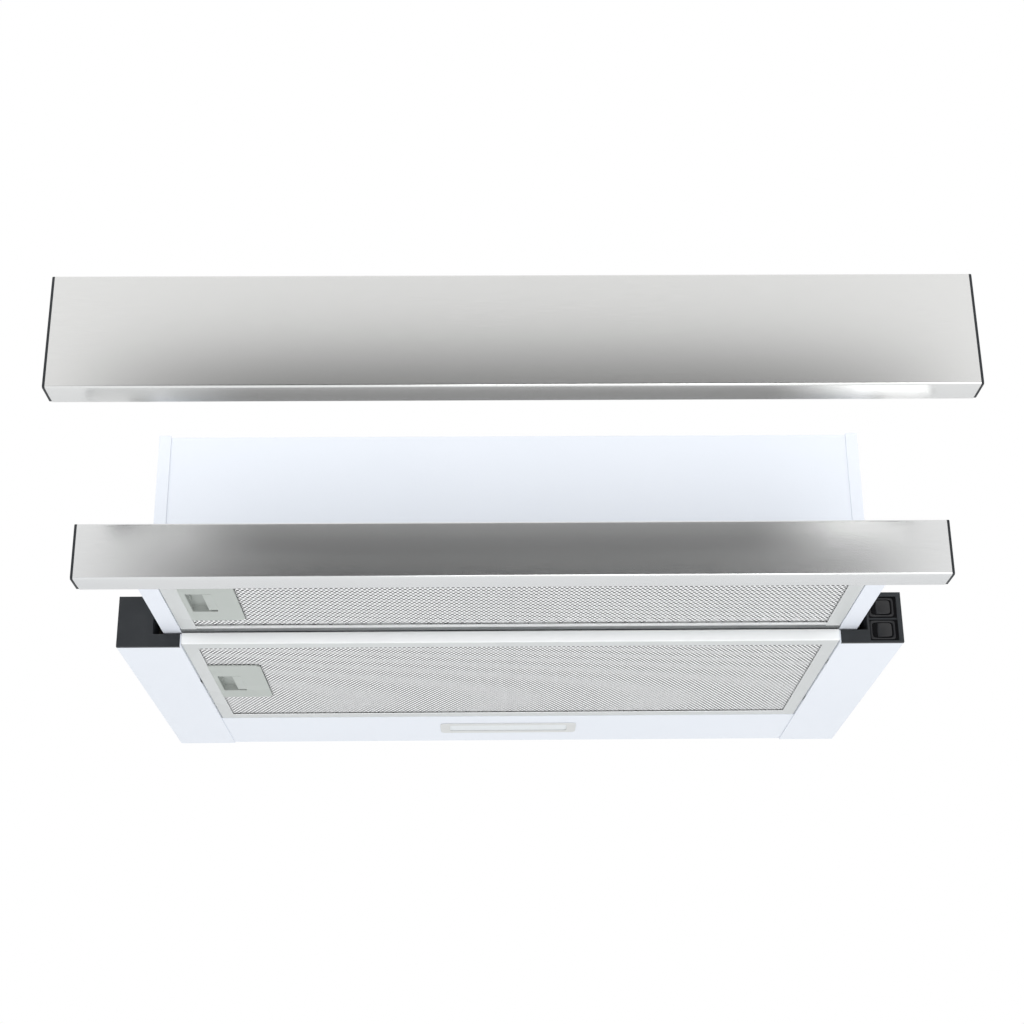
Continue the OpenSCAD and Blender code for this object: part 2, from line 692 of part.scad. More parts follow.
// Filter cassettes: a folded border round a perforated sheet and a pleated pad of expanded mesh.
// Tabs on the right edge hook into the lip beside it, and a sprung latch holds the left edge.
plate_x0 = -filter_half + border_w;
plate_x1 = plate_x0 + latch_w;
window_x0 = plate_x0 + window_in;
window_x1 = window_x0 + cup_w + latch_travel + run_gap;
module latch_room(y0, d, z0, z1) {
    mid = latch_place(y0, d);
    block([-filter_half + filter_sheet, mid - latch_l / 2 + border_w / 4, z0],
          [plate_x1 - border_w / 4, mid + latch_l / 2 - border_w / 4, z1]);
}
module filter_frame(y0, d, z0, back = border_w) {
    mid = latch_place(y0, d);
    difference() {
        union() {
            block([-filter_half, y0, z0], [filter_half, y0 + d, z0 + filter_t]);
            for (y = tab_places(y0, d))
                block([filter_half - filter_sheet, y - tab_w / 2, z0 + tab_rise],
                      [filter_half + tab_out, y + tab_w / 2, z0 + tab_rise + tab_t]);
        }
        block([-filter_half + filter_sheet, y0 + filter_sheet, z0 + filter_sheet],
              [filter_half - filter_sheet, y0 + d - filter_sheet, z0 + filter_t - filter_sheet]);
        block([-filter_half + border_w, y0 + border_w, z0 - cut],
              [filter_half - border_w, y0 + d - back, z0 + filter_t + cut]);
        block([plate_x0, mid - latch_l / 2 - fit, z0 - cut],
              [plate_x1, mid + latch_l / 2 + fit, z0 + filter_sheet + cut]);
        block([-filter_half - cut, mid - bolt_w / 2 - bolt_gap, z0 + bolt_z - bolt_gap],
              [-filter_half + filter_sheet + cut, mid + bolt_w / 2 + bolt_gap,
               z0 + bolt_z + bolt_t + bolt_gap]);
    }
}
module filter_sheet_form(y0, d, z0) difference() {
    edge = filter_sheet + core_gap;
    block([-filter_half + edge, y0 + edge, z0 + filter_sheet],
          [filter_half - edge, y0 + d - edge, z0 + filter_sheet + mesh_t]);
    latch_room(y0, d, z0, z0 + filter_t);
}
function pleats(half, low, high) = let (n = 2 * pleat_count) concat(
    [for (i = [0 : n]) [half * (2 * i / n - 1), i % 2 == 0 ? low : high]],
    [for (i = [n : -1 : 0]) [half * (2 * i / n - 1), (i % 2 == 0 ? low : high) + pleat_t]]);
module filter_core_form(y0, d, z0) difference() {
    edge = filter_sheet + core_gap;
    low = z0 + filter_sheet + mesh_t + fit;
    high = z0 + filter_t - filter_sheet - fit - pleat_t;
    along_y(y0 + edge, y0 + d - edge) polygon(pleats(filter_half - edge, low, high));
    latch_room(y0, d, z0, z0 + filter_t);
}
module latch_plate_form(y0, d, z0) {
    mid = latch_place(y0, d);
    translate([0, 0, z0]) linear_extrude(filter_sheet) difference() {
        polygon(concat(
            [[plate_x0 + fit, mid + latch_l / 2], [plate_x0 + fit, mid - latch_l / 2]],
            turn([plate_x1 - latch_r, mid - latch_l / 2 + latch_r], latch_r, 270, 360),
            turn([plate_x1 - latch_r, mid + latch_l / 2 - latch_r], latch_r, 0, 90)));
        translate([window_x0, mid - window_l / 2]) square([window_x1 - window_x0, window_l]);
    }
}
module latch_form(y0, d, z0) {
    mid = latch_place(y0, d);
    half = window_l / 2 - run_gap;
    x0 = window_x0 + run_gap;
    x1 = window_x0 + cup_w;
    difference() {
        block([x0, mid - half, z0], [x1, mid + half, z0 + cup_depth]);
        block([x0 + cup_wall, mid - half + cup_wall, z0 - cut],
              [x1 - cup_wall, mid + half - cup_wall, z0 + cup_depth - cup_wall]);
    }
    block([x1 - cup_wall, mid - half, z0 - fit], [x1, mid + half, z0 + cup_wall]);
    block([x1 - cup_wall, mid - half, z0 - fit - thumb_t], [x1 + thumb_w, mid + half, z0 - fit]);
    block([-filter_half - filter_gap + run_gap, mid - bolt_w / 2, z0 + bolt_z],
          [x0 + cup_wall, mid + bolt_w / 2, z0 + bolt_z + bolt_t]);
}
module front_filter_frame() color([0.8, 0.82, 0.82])
    filter_frame(front_filter_y, front_filter_d, drawer_z, narrow_border);
module front_filter_sheet() color([0.86, 0.87, 0.87])
    filter_sheet_form(front_filter_y, front_filter_d, drawer_z);
module front_filter_core() color([0.6, 0.61, 0.62])
    filter_core_form(front_filter_y, front_filter_d, drawer_z);
module front_latch_plate() color([0.73, 0.76, 0.73])
    latch_plate_form(front_filter_y, front_filter_d, drawer_z);
module front_latch() color([0.6, 0.63, 0.6])
    latch_form(front_filter_y, front_filter_d, drawer_z);
module rear_filter_frame() color([0.8, 0.82, 0.82])
    filter_frame(rear_filter_y, rear_filter_d, filter_z);
module rear_filter_sheet() color([0.86, 0.87, 0.87])
    filter_sheet_form(rear_filter_y, rear_filter_d, filter_z);
module rear_filter_core() color([0.6, 0.61, 0.62])
    filter_core_form(rear_filter_y, rear_filter_d, filter_z);
module rear_latch_plate() color([0.73, 0.76, 0.73])
    latch_plate_form(rear_filter_y, rear_filter_d, filter_z);
module rear_latch() color([0.6, 0.63, 0.6])
    latch_form(rear_filter_y, rear_filter_d, filter_z);

// Duct spigot: a square flange, a round collar, a bar across it and a stop under each flap
module duct_spigot() color([0.18, 0.18, 0.19]) difference() {
    union() {
        difference() {
            union() {
                block([-spigot_flange / 2, -spigot_flange / 2, top_z],
                      [spigot_flange / 2, spigot_flange / 2, 0]);
                bar_z(spigot_r, top_z, spigot_h, 0, 0);
            }
            bar_z(spigot_in, top_z - cut, spigot_h + cut, 0, 0);
        }
        block([-spigot_r + spigot_wall / 2, -damper_bar_w / 2, damper_z - damper_bar_h / 2],
              [spigot_r - spigot_wall / 2, damper_bar_w / 2, damper_z + damper_bar_h / 2]);
        for (side = [0, 180]) rotate([0, 0, side])
            block([-stop_w / 2, spigot_in - stop_reach, damper_z - flap_t / 2 - run_gap - stop_h],
                  [stop_w / 2, spigot_r - spigot_wall / 2, damper_z - flap_t / 2 - run_gap]);
    }
    for (y = [-damper_y, damper_y])
        bar_x(flap_pin_r + flap_pin_gap, -spigot_r - cut, spigot_r + cut, y, damper_z);
    for (x = [-1, 1], y = [-1, 1])
        bar_z(screw_hole_r, top_z - cut, cut, x * spigot_screw, y * spigot_screw);
}
module spigot_screws() color([0.8, 0.8, 0.78]) for (x = [-1, 1], y = [-1, 1]) {
    bar_z(screw_head_r, 0, screw_head_h, x * spigot_screw, y * spigot_screw);
    bar_z(screw_r, -screw_l, screw_head_h, x * spigot_screw, y * spigot_screw);
}
module flap_form() {
    pin_end = sqrt(spigot_in * spigot_in - damper_y * damper_y) + spigot_wall / 2;
    intersection() {
        bar_z(spigot_in - flap_gap, damper_z - flap_t / 2, damper_z + flap_t / 2, 0, 0);
        block([-spigot_in, damper_y, damper_z - flap_t], [spigot_in, spigot_in, damper_z + flap_t]);
    }
    bar_x(barrel_r, -barrel_half, barrel_half, damper_y, damper_z);
    bar_x(flap_pin_r, -pin_end, pin_end, damper_y, damper_z);
}
module rear_flap() color([0.75, 0.76, 0.77]) flap_form();
module front_flap() color([0.75, 0.76, 0.77]) rotate([0, 0, 180]) flap_form();

// Blower scroll: a spiral wall that grows from the tongue round to the straight rear wall
function spiral_r(a) = scroll_min + scroll_grow * (a - tongue_angle) / (360 - tongue_angle);
function spiral_point(a, grow) = [blower_y, blower_z] + (spiral_r(a) + grow) * [cos(a), sin(a)];
function spiral(grow, from, to) =
    [for (i = [0 : spiral_steps]) spiral_point(from + (to - from) * i / spiral_steps, grow)];
tongue_back = acos((scroll_min * cos(tongue_angle) - scroll_wall) / (scroll_min + scroll_wall));
function scroll_outer() = concat(
    [[outlet_half + scroll_wall, top_in_z]],
    spiral(scroll_wall, 360, tongue_back),
    [[-outlet_half - scroll_wall, top_in_z]]);
module scroll_wrap() color([0.78, 0.79, 0.8]) along_x(-outlet_half_x, outlet_half_x)
    polygon(concat(scroll_outer(), [[-outlet_half, top_in_z]],
        spiral(0, tongue_angle, 360), [[outlet_half, top_in_z]]));
module cheek(x0) {
    difference() {
        along_x(x0, x0 + scroll_wall) polygon(scroll_outer());
        bar_x(inlet_r, x0 - cut, x0 + scroll_wall + cut, blower_y, blower_z);
    }
}
module scroll_left_cheek() color([0.75, 0.76, 0.77]) cheek(-outlet_half_x - scroll_wall);
module scroll_right_cheek() color([0.75, 0.76, 0.77]) cheek(outlet_half_x);

// Impeller: blades between two end rings and a middle disc with its hub
function blade_outline() =
    let (r0 = impeller_r - blade_depth, r1 = impeller_r - ring_t / 4,
         mid = (r0 + r1) / 2 * [cos(blade_lean / 4), sin(blade_lean / 4)],
         tip = [cos(blade_lean), sin(blade_lean)], skin = [0, blade_t])
    [[r0, 0], mid, r1 * tip, (r1 - blade_t) * tip + skin, mid + skin, [r0, 0] + skin];
module impeller() color([0.25, 0.26, 0.28]) difference() {
    translate([0, blower_y, blower_z]) union() {
        along_x(-impeller_half, impeller_half)
            for (i = [0 : blade_count - 1]) rotate(i * 360 / blade_count) polygon(blade_outline());
        for (x = [-impeller_half, impeller_half - ring_t])
            along_x(x, x + ring_t) difference() {
                circle(r = impeller_r);
                circle(r = impeller_r - blade_depth / 2);
            }
        along_x(-ring_t / 2, ring_t / 2) circle(r = impeller_r);
        along_x(-hub_half, hub_half) circle(r = hub_r);
    }
    bar_x(shaft_r, -hub_half - cut, hub_half + cut, blower_y, blower_z);
}
module motor_shaft() color([0.7, 0.7, 0.72])
    bar_x(shaft_r, -hub_half, motor_x + motor_l - motor_edge, blower_y, blower_z);
module motor() color([0.5, 0.51, 0.53]) difference() {
    union() {
        bar_x(motor_r, motor_x + motor_edge, motor_x + motor_l - motor_edge, blower_y, blower_z);
        bar_x(motor_r - motor_edge, motor_x, motor_x + motor_l, blower_y, blower_z);
    }
    bar_x(shaft_r + bearing_gap, motor_x - cut, motor_x + motor_l - motor_edge + run_gap, blower_y, blower_z);
}

// Motor bracket: a ring on the motor's nose and three arms whose feet stand on the right cheek
module motor_bracket() color([0.62, 0.63, 0.65]) translate([0, blower_y, blower_z]) {
    foot_x = outlet_half_x + scroll_wall;
    along_x(motor_x - arm_t, motor_x) difference() {
        circle(r = arm_ring_r);
        circle(r = shaft_r + arm_t);
    }
    for (i = [0 : arm_count - 1]) rotate([90 + i * 360 / arm_count, 0, 0]) {
        block([motor_x - arm_t, arm_ring_r - arm_t, -arm_w / 2], [motor_x, arm_r, arm_w / 2]);
        block([foot_x, arm_r - arm_t, -arm_w / 2], [motor_x, arm_r, arm_w / 2]);
        block([foot_x, arm_r - foot_l, -arm_w / 2], [foot_x + arm_t, arm_r, arm_w / 2]);
    }
}

// Electrical parts that hang from the top panel
module capacitor() color([0.9, 0.9, 0.88]) {
    z = top_in_z - capacitor_r;
    bar_y(capacitor_r, capacitor_y - capacitor_l / 2, capacitor_y + capacitor_l / 2, capacitor_x, z);
    block([capacitor_x - saddle_w / 2, capacitor_y - saddle_w / 2, z],
          [capacitor_x + saddle_w / 2, capacitor_y + saddle_w / 2, top_in_z]);
}
module terminal_box() color([0.2, 0.2, 0.21]) difference() {
    block([terminal_x - terminal_size[0] / 2, terminal_y - terminal_size[1] / 2,
           top_in_z - terminal_size[2]],
          [terminal_x + terminal_size[0] / 2, terminal_y + terminal_size[1] / 2, top_in_z]);
    block([terminal_x - terminal_size[0] / 2 + block_wall, terminal_y - terminal_size[1] / 2 + block_wall,
           top_in_z - terminal_size[2] + block_wall],
          [terminal_x + terminal_size[0] / 2 - block_wall, terminal_y + terminal_size[1] / 2 - block_wall,
           top_in_z + cut]);
}
module cable_gland() color([0.16, 0.16, 0.17]) difference() {
    union() {
        bar_z(gland_r, top_z, top_z + gland_up, terminal_x, terminal_y);
        bar_z(gland_thread_r - fit, top_in_z - gland_down, top_z + gland_up, terminal_x, terminal_y);
        bar_z(gland_r, top_in_z - gland_down + fit, top_in_z, terminal_x, terminal_y);
    }
    bar_z(gland_bore_r, top_in_z - gland_down - cut, top_z + gland_up + cut, terminal_x, terminal_y);
}

front_panel();
back_panel();
left_side_panel();
right_side_panel();
top_panel();
left_base_channel();
right_base_channel();
light_panel();
left_end_block();
right_switch_block();
switch_bodies();
fan_rocker();
light_rocker();
light_bezel();
light_lens();
led_board();
led_driver();
left_slide_outer();
right_slide_outer();
left_ball_cage();
right_ball_cage();
left_slide_inner();
right_slide_inner();
drawer_sensor();
sensor_button();
drawer_left_side();
drawer_right_side();
drawer_front_rail();
drawer_top_cover();
fascia();
fascia_left_cap();
fascia_right_cap();
fascia_screws();
spare_fascia();
spare_left_cap();
spare_right_cap();
front_filter_frame();
front_filter_sheet();
front_filter_core();
front_latch_plate();
front_latch();
rear_filter_frame();
rear_filter_sheet();
rear_filter_core();
rear_latch_plate();
rear_latch();
duct_spigot();
spigot_screws();
front_flap();
rear_flap();
scroll_wrap();
scroll_left_cheek();
scroll_right_cheek();
impeller();
motor_shaft();
motor();
motor_bracket();
capacitor();
terminal_box();
cable_gland();
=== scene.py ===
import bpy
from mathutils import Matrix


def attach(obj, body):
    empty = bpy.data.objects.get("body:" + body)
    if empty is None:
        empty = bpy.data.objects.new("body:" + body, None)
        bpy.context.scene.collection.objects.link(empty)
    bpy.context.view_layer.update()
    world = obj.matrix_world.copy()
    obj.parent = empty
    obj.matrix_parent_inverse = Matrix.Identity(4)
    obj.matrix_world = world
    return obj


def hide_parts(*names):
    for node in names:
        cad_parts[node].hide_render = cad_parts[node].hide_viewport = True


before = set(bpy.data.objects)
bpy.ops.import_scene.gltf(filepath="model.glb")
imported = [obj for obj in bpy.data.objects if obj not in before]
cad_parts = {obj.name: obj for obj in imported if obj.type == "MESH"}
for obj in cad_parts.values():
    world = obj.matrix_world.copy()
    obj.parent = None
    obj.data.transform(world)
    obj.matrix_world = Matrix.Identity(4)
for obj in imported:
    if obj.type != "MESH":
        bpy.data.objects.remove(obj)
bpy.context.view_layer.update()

import math

import bmesh
import bpy
import numpy as np
from mathutils import Matrix, Vector

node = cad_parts

# The view. The camera is a little below the drawn-out hood and looks up at its filters, as someone
# at the cooker does. Its lens and place were worked out from the corners that the photograph shows.
focal_px, picture_px, sensor_mm = 1744.5, 1024.0, 36.0
tilt, swing, lean = np.radians([21.400, -0.895, -0.614])
eye_at = [-0.0183, -1.4198, -0.5661]
ahead = np.array([-np.sin(swing) * np.cos(tilt), np.cos(swing) * np.cos(tilt), np.sin(tilt)])
level = np.array([np.cos(swing), np.sin(swing), 0.0])
upright = np.cross(level, ahead)
across = level * np.cos(lean) + upright * np.sin(lean)
upward = upright * np.cos(lean) - level * np.sin(lean)
eye = np.eye(4)
eye[:3] = np.column_stack([across, upward, -ahead, eye_at])
lens = bpy.data.cameras.new("Hood_View")
lens.sensor_width = sensor_mm
lens.lens = sensor_mm * focal_px / picture_px
lens.clip_start = 0.01
camera = bpy.data.objects.new("Hood_View", lens)
camera.matrix_world = Matrix(eye.tolist())
bpy.context.scene.collection.objects.link(camera)
bpy.context.scene.camera = camera
bpy.context.scene.view_settings.view_transform = "Standard"


# The studio. A pale floor well under the hood, three soft lamps and a white surround. Glowing cards
# hang behind the camera and a narrow one between the two fascias, both out of its sight and seen only in
# mirrors: painted reflections, from dark to pale by height, so that the brushed steel has something to mirror.
def wire(tree, start, end):
    """Joins one node's output to another's input, each given as (node, socket)."""
    tree.links.new(start[0].outputs[start[1]], end[0].inputs[end[1]])


def step(tree, kind, links=(), values=None, **settings):
    """One shader node: its links as (input, source node, source output), its inputs' values, and
    its settings by attribute."""
    made = tree.nodes.new(kind)
    for key, value in settings.items():
        setattr(made, key, value)
    for key, value in (values or {}).items():
        made.inputs[key].default_value = value
    for key, source, output in links:
        wire(tree, (source, output), (made, key))
    return made


def spread(tree, source, output, low, high, bottom=0.0, top=1.0):
    """Maps a value from low..high to bottom..top, held at both ends."""
    return step(tree, "ShaderNodeMapRange", [("Value", source, output)],
                {"From Min": low, "From Max": high, "To Min": bottom, "To Max": top})


def opaque(*colour):
    """A colour with full alpha."""
    return (*colour, 1.0)


def sum_of_rays(tree):
    """The Light Path's camera, glossy and transmission rays, added and held at 1."""
    path = step(tree, "ShaderNodeLightPath")
    seen = step(tree, "ShaderNodeMath", [(0, path, "Is Camera Ray"), (1, path, "Is Glossy Ray")],
                operation="ADD")
    return step(tree, "ShaderNodeMath", [(0, seen, 0), (1, path, "Is Transmission Ray")],
                operation="ADD", use_clamp=True)


room = bpy.data.worlds.new("White_Surround")
bpy.context.scene.world = room
room.use_nodes = True
tree = room.node_tree
tree.nodes.clear()
lit = step(tree, "ShaderNodeBackground", values={"Color": opaque(0.97, 0.985, 1.0), "Strength": 0.96})
plain = step(tree, "ShaderNodeBackground", values={"Color": opaque(1.0, 1.0, 1.0)})
choice = step(tree, "ShaderNodeMixShader", [(0, sum_of_rays(tree), 0), (1, lit, 0), (2, plain, 0)])
step(tree, "ShaderNodeOutputWorld", [("Surface", choice, 0)])


def flat_sheet(name, corners):
    """One four-sided face through four corners, in metres, going round against the clock."""
    mesh = bpy.data.meshes.new(name)
    mesh.from_pydata(corners, [], [(0, 1, 2, 3)])
    thing = bpy.data.objects.new(name, mesh)
    bpy.context.scene.collection.objects.link(thing)
    return thing


def rectangle(x0, y0, x1, y1):
    """A rectangle's four corners, against the clock from the low one."""
    return [(x0, y0), (x1, y0), (x1, y1), (x0, y1)]


floor_z, floor_half = -1.25, 9.0
floor = flat_sheet("Studio_Floor", [(x, y, floor_z) for x, y in
                                    rectangle(-floor_half, -floor_half, floor_half, floor_half)])
floor_look = bpy.data.materials.new("Pale_Floor")
floor_look.use_nodes = True
tree = floor_look.node_tree
cement = tree.nodes["Principled BSDF"]
cement.inputs["Roughness"].default_value = 0.7
clouds = step(tree, "ShaderNodeTexNoise", [("Vector", step(tree, "ShaderNodeTexCoord"), "Object")],
              {"Scale": 3.0})
wire(tree, (spread(tree, clouds, "Fac", 0.0, 1.0, 0.86, 0.89), "Result"), (cement, "Base Color"))
underneath = step(tree, "ShaderNodeNewGeometry")
clear = step(tree, "ShaderNodeBsdfTransparent")
either = step(tree, "ShaderNodeMixShader", [(0, underneath, "Backfacing"), (1, cement, 0), (2, clear, 0)])
wire(tree, (either, 0), (tree.nodes["Material Output"], "Surface"))
floor.data.materials.append(floor_look)


def painted_reflection_card(name, y, half_width, middle, fade, power, tones):
    """A card across the view that only mirrors see: a painted reflection. Its glow follows the height
    through the given (height, tone) pairs. It thins out from the fade's start, where it is whole, to its
    end, where it is gone: the share of the way there is raised to a power."""
    low, high = tones[0][0], tones[-1][0]
    card = flat_sheet(name, [(-half_width, y, low), (-half_width, y, high),
                             (half_width, y, high), (half_width, y, low)])
    look = bpy.data.materials.new(name)
    look.use_nodes = True
    tree = look.node_tree
    tree.nodes.clear()
    split = step(tree, "ShaderNodeSeparateXYZ", [(0, step(tree, "ShaderNodeTexCoord"), "Object")])
    shifted = step(tree, "ShaderNodeMath", [(0, split, "X")], {1: middle}, operation="SUBTRACT")
    aside = step(tree, "ShaderNodeMath", [(0, shifted, 0)], operation="ABSOLUTE")
    thin = spread(tree, aside, 0, *fade)
    thinner = step(tree, "ShaderNodeMath", [(0, thin, "Result")], {1: power}, operation="POWER")
    height = spread(tree, split, "Z", low, high)
    glow = step(tree, "ShaderNodeValToRGB", [(0, height, "Result")])
    stops = glow.color_ramp.elements
    for z, tone in tones[1:-1]:
        stops.new((z - low) / (high - low)).color = opaque(tone, tone, tone)
    stops[0].color, stops[-1].color = opaque(*[tones[0][1]] * 3), opaque(*[tones[-1][1]] * 3)
    reflected_tone = step(tree, "ShaderNodeEmission", [("Color", glow, "Color")])
    gap = step(tree, "ShaderNodeBsdfTransparent")
    both = step(tree, "ShaderNodeMixShader", [(0, thinner, 0), (1, reflected_tone, 0), (2, gap, 0)])
    step(tree, "ShaderNodeOutputMaterial", [("Surface", both, 0)])
    card.data.materials.append(look)
    card.visible_camera = card.visible_diffuse = card.visible_shadow = card.visible_transmission = False


painted_reflection_card("Painted_Reflection_Low", y=-1.107, half_width=0.6, middle=0.012, fade=(0.15, 0.487), power=3.3,
           tones=[(-0.35, 0.05), (0.06, 0.045), (0.105, 0.12), (0.135, 0.27), (0.17, 0.27), (0.21, 0.30)])
painted_reflection_card("Painted_Reflection_High", y=-1.107, half_width=0.6, middle=0.012, fade=(0.10, 0.475), power=1.65,
           tones=[(0.21, 0.31), (0.272, 0.88), (0.33, 0.96), (0.95, 0.97)])
painted_reflection_card("Painted_Reflection_Strip", y=-0.365, half_width=0.26, middle=0.0, fade=(0.170, 0.235), power=1.5,
           tones=[(-0.130, 0.26), (-0.112, 0.28), (-0.094, 0.28)])

lamp_aim, lamp_flatness = Vector((0, -0.1, -0.1)), 0.7
for lamp_name, stand, size, watts in (("Front_Softbox", (-0.9, -2.0, 1.9), 1.5, 24.0),
                                      ("Low_Softbox", (0.5, -1.7, -1.1), 1.3, 11.0),
                                      ("Wall_Softbox", (1.7, 1.5, 1.3), 1.4, 10.0)):
    lamp = bpy.data.lights.new(lamp_name, "AREA")
    lamp.shape, lamp.size, lamp.size_y, lamp.energy = "RECTANGLE", size, size * lamp_flatness, watts
    lamp_stand = bpy.data.objects.new(lamp_name, lamp)
    lamp_stand.location = stand
    lamp_stand.visible_glossy = lamp_name != "Front_Softbox"
    lamp_stand.rotation_euler = (lamp_aim - Vector(stand)).to_track_quat("-Z", "Y").to_euler()
    bpy.context.scene.collection.objects.link(lamp_stand)


# Side panels of the upper box. 1 mm steel, bent into an angle whose front flange laps the front
# panel, with two screw holes into the cupboard, powder-coated white before the box is riveted.
def effect(name, inputs, outputs=("Colour", "Roughness", "Height")):
    """An empty node group and its two end nodes. It takes a Vector and the inputs, each with a
    start value of one number or four for a colour. Only the output named Colour is a colour."""
    group = bpy.data.node_groups.new(name, "ShaderNodeTree")
    group.interface.new_socket("Vector", in_out="INPUT", socket_type="NodeSocketVector")
    for label, start in inputs.items():
        kind = "NodeSocketFloat" if isinstance(start, float) else "NodeSocketColor"
        group.interface.new_socket(label, in_out="INPUT", socket_type=kind).default_value = start
    for label in outputs:
        kind = "NodeSocketColor" if label == "Colour" else "NodeSocketFloat"
        group.interface.new_socket(label, in_out="OUTPUT", socket_type=kind)
    return group, group.nodes.new("NodeGroupInput"), group.nodes.new("NodeGroupOutput")


def mixed(tree, share, first, second):
    """A colour on its way from a first to a second. All three are given as (node, socket), and
    output 2 of the node holds the result."""
    made = step(tree, "ShaderNodeMix", data_type="RGBA")
    for socket, source in ((0, share), (6, first), (7, second)):
        wire(tree, source, (made, socket))
    return made


def roughened(tree, start, source, amount):
    """The group's own Roughness plus an amount times a value given as (node, socket)."""
    return step(tree, "ShaderNodeMath", [(0, *source), (2, start, "Roughness")], {1: amount},
                operation="MULTIPLY_ADD")


def put_out(tree, end, **found):
    """Joins what a group has worked out, each as (node, socket), to its outputs by name."""
    for label, source in found.items():
        wire(tree, source, (end, label))


# Paint skin: broad drifts of tint, and the low ripple of baked powder coat
skin, skin_in, skin_out = effect("Paint Skin", {
    "Colour": opaque(0.8, 0.8, 0.8), "Thin Colour": opaque(0.7, 0.7, 0.7), "Roughness": 0.35,
    "Ripple": 900.0})
drift = step(skin, "ShaderNodeTexNoise", [("Vector", skin_in, "Vector")], {"Scale": 7.0, "Detail": 3.0})
drifted = spread(skin, drift, "Fac", 0.35, 0.7), "Result"
thinned = mixed(skin, drifted, (skin_in, "Colour"), (skin_in, "Thin Colour"))
ripple = step(skin, "ShaderNodeTexNoise", [("Vector", skin_in, "Vector"), ("Scale", skin_in, "Ripple")],
              {"Detail": 2.0})
gloss = roughened(skin, skin_in, (ripple, "Fac"), 0.12)
put_out(skin, skin_out, Colour=(thinned, 2), Roughness=(gloss, 0), Height=(ripple, "Fac"))

# Edge wear: where the surface turns within a fraction of a millimetre, broken up by noise
wear, wear_in, wear_out = effect("Edge Wear", {
    "Colour": opaque(0.8, 0.8, 0.8), "Edge Colour": opaque(0.5, 0.5, 0.5), "Amount": 0.5,
    "Width": 0.0006}, ("Colour", "Mask"))
turned = step(wear, "ShaderNodeBevel", [("Radius", wear_in, "Width")], samples=4)
facing = step(wear, "ShaderNodeNewGeometry")
same = step(wear, "ShaderNodeVectorMath", [(0, turned, "Normal"), (1, facing, "Normal")],
            operation="DOT_PRODUCT")
rim = spread(wear, same, "Value", 0.995, 0.80)
rub = step(wear, "ShaderNodeTexNoise", [("Vector", wear_in, "Vector")], {"Scale": 160.0, "Detail": 4.0})
patchy = spread(wear, rub, "Fac", 0.3, 0.6, 0.35, 1.0)
worn = step(wear, "ShaderNodeMath", [(0, rim, "Result"), (1, patchy, "Result")], operation="MULTIPLY")
mask = step(wear, "ShaderNodeMath", [(0, worn, 0), (1, wear_in, "Amount")], operation="MULTIPLY",
            use_clamp=True)
edged = mixed(wear, (mask, 0), (wear_in, "Colour"), (wear_in, "Edge Colour"))
put_out(wear, wear_out, Colour=(edged, 2), Mask=(mask, 0))


def placed(tree, group, links=(), **values):
    """A node group put into a material, with its inputs set by name."""
    made = tree.nodes.new("ShaderNodeGroup")
    made.node_tree = group
    for key, value in values.items():
        made.inputs[key.replace("_", " ")].default_value = value
    for key, source, output in links:
        wire(tree, (source, output), (made, key))
    return made


def new_finish(name, constants, group, edge, rubbing, depth, strength, **values):
    """A material: constants on its Principled shader, and on Object coordinates an effect group
    with its values, whose colour goes through edge wear and whose height becomes a bump."""
    look = bpy.data.materials.new(name)
    look.use_nodes = True
    tree = look.node_tree
    shader = tree.nodes["Principled BSDF"]
    for key, value in constants.items():
        shader.inputs[key].default_value = value
    here = ("Vector", step(tree, "ShaderNodeTexCoord"), "Object")
    surface = placed(tree, group, [here], **values)
    edges = placed(tree, wear, [here, ("Colour", surface, "Colour")], Edge_Colour=opaque(*edge), **rubbing)
    bump = step(tree, "ShaderNodeBump", [("Height", surface, "Height")],
                {"Distance": depth, "Strength": strength})
    wire(tree, (edges, "Colour"), (shader, "Base Color"))
    wire(tree, (surface, "Roughness"), (shader, "Roughness"))
    wire(tree, (bump, "Normal"), (shader, "Normal"))
    return look


def enamel(name, colour, thin, edge):
    """Baked white powder coat: paint skin, thinner and greyer on the bends."""
    return new_finish(name, {"Specular IOR Level": 0.45}, skin, edge, {"Amount": 0.5},
                      depth=0.00012, strength=0.35, Colour=opaque(*colour), Thin_Colour=opaque(*thin),
                      Roughness=0.36, Ripple=850.0)


def finished(name, mesh, look, body, stands_for, soft_edge=0.0, smooth=None, bevel_steps=2):
    """Puts a mesh into the scene with its smoothing, softened edges, finish and body, and hides the
    CAD node that it stands for."""
    if smooth:
        mesh.polygons.foreach_set("use_smooth", np.ones(len(mesh.polygons), bool))
        mesh.set_sharp_from_angle(angle=math.radians(smooth))
    mesh.materials.append(look)
    thing = bpy.data.objects.new(name, mesh)
    bpy.context.scene.collection.objects.link(thing)
    if soft_edge:
        bevel = thing.modifiers.new("Soft edges", "BEVEL")
        bevel.width, bevel.segments = soft_edge * 0.001, bevel_steps
        bevel.limit_method, bevel.angle_limit = "ANGLE", math.radians(40)
        bevel.harden_normals = True
    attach(thing, body)
    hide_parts(stands_for)
    return thing


def softened(name, look, body, soft_edge, bevel_steps=2, smooth=35.0):
    """A merged copy of a CAD node with its flat faces rejoined and its edges softened."""
    mesh = node[name].data.copy()
    mesh.materials.clear()
    form = bmesh.new()
    form.from_mesh(mesh)
    bmesh.ops.remove_doubles(form, verts=form.verts, dist=2e-6)
    bmesh.ops.dissolve_limit(form, angle_limit=math.radians(1), verts=form.verts, edges=form.edges)
    form.to_mesh(mesh)
    form.free()
    return finished(name.title() + "_Made", mesh, look, body, name, soft_edge, smooth, bevel_steps)


white_enamel = enamel("White_Enamel", (0.80, 0.83, 0.885), (0.785, 0.817, 0.872), (0.66, 0.70, 0.77))
for side in ("left", "right"):
    softened(side + "_side_panel", white_enamel, "housing", 0.28)


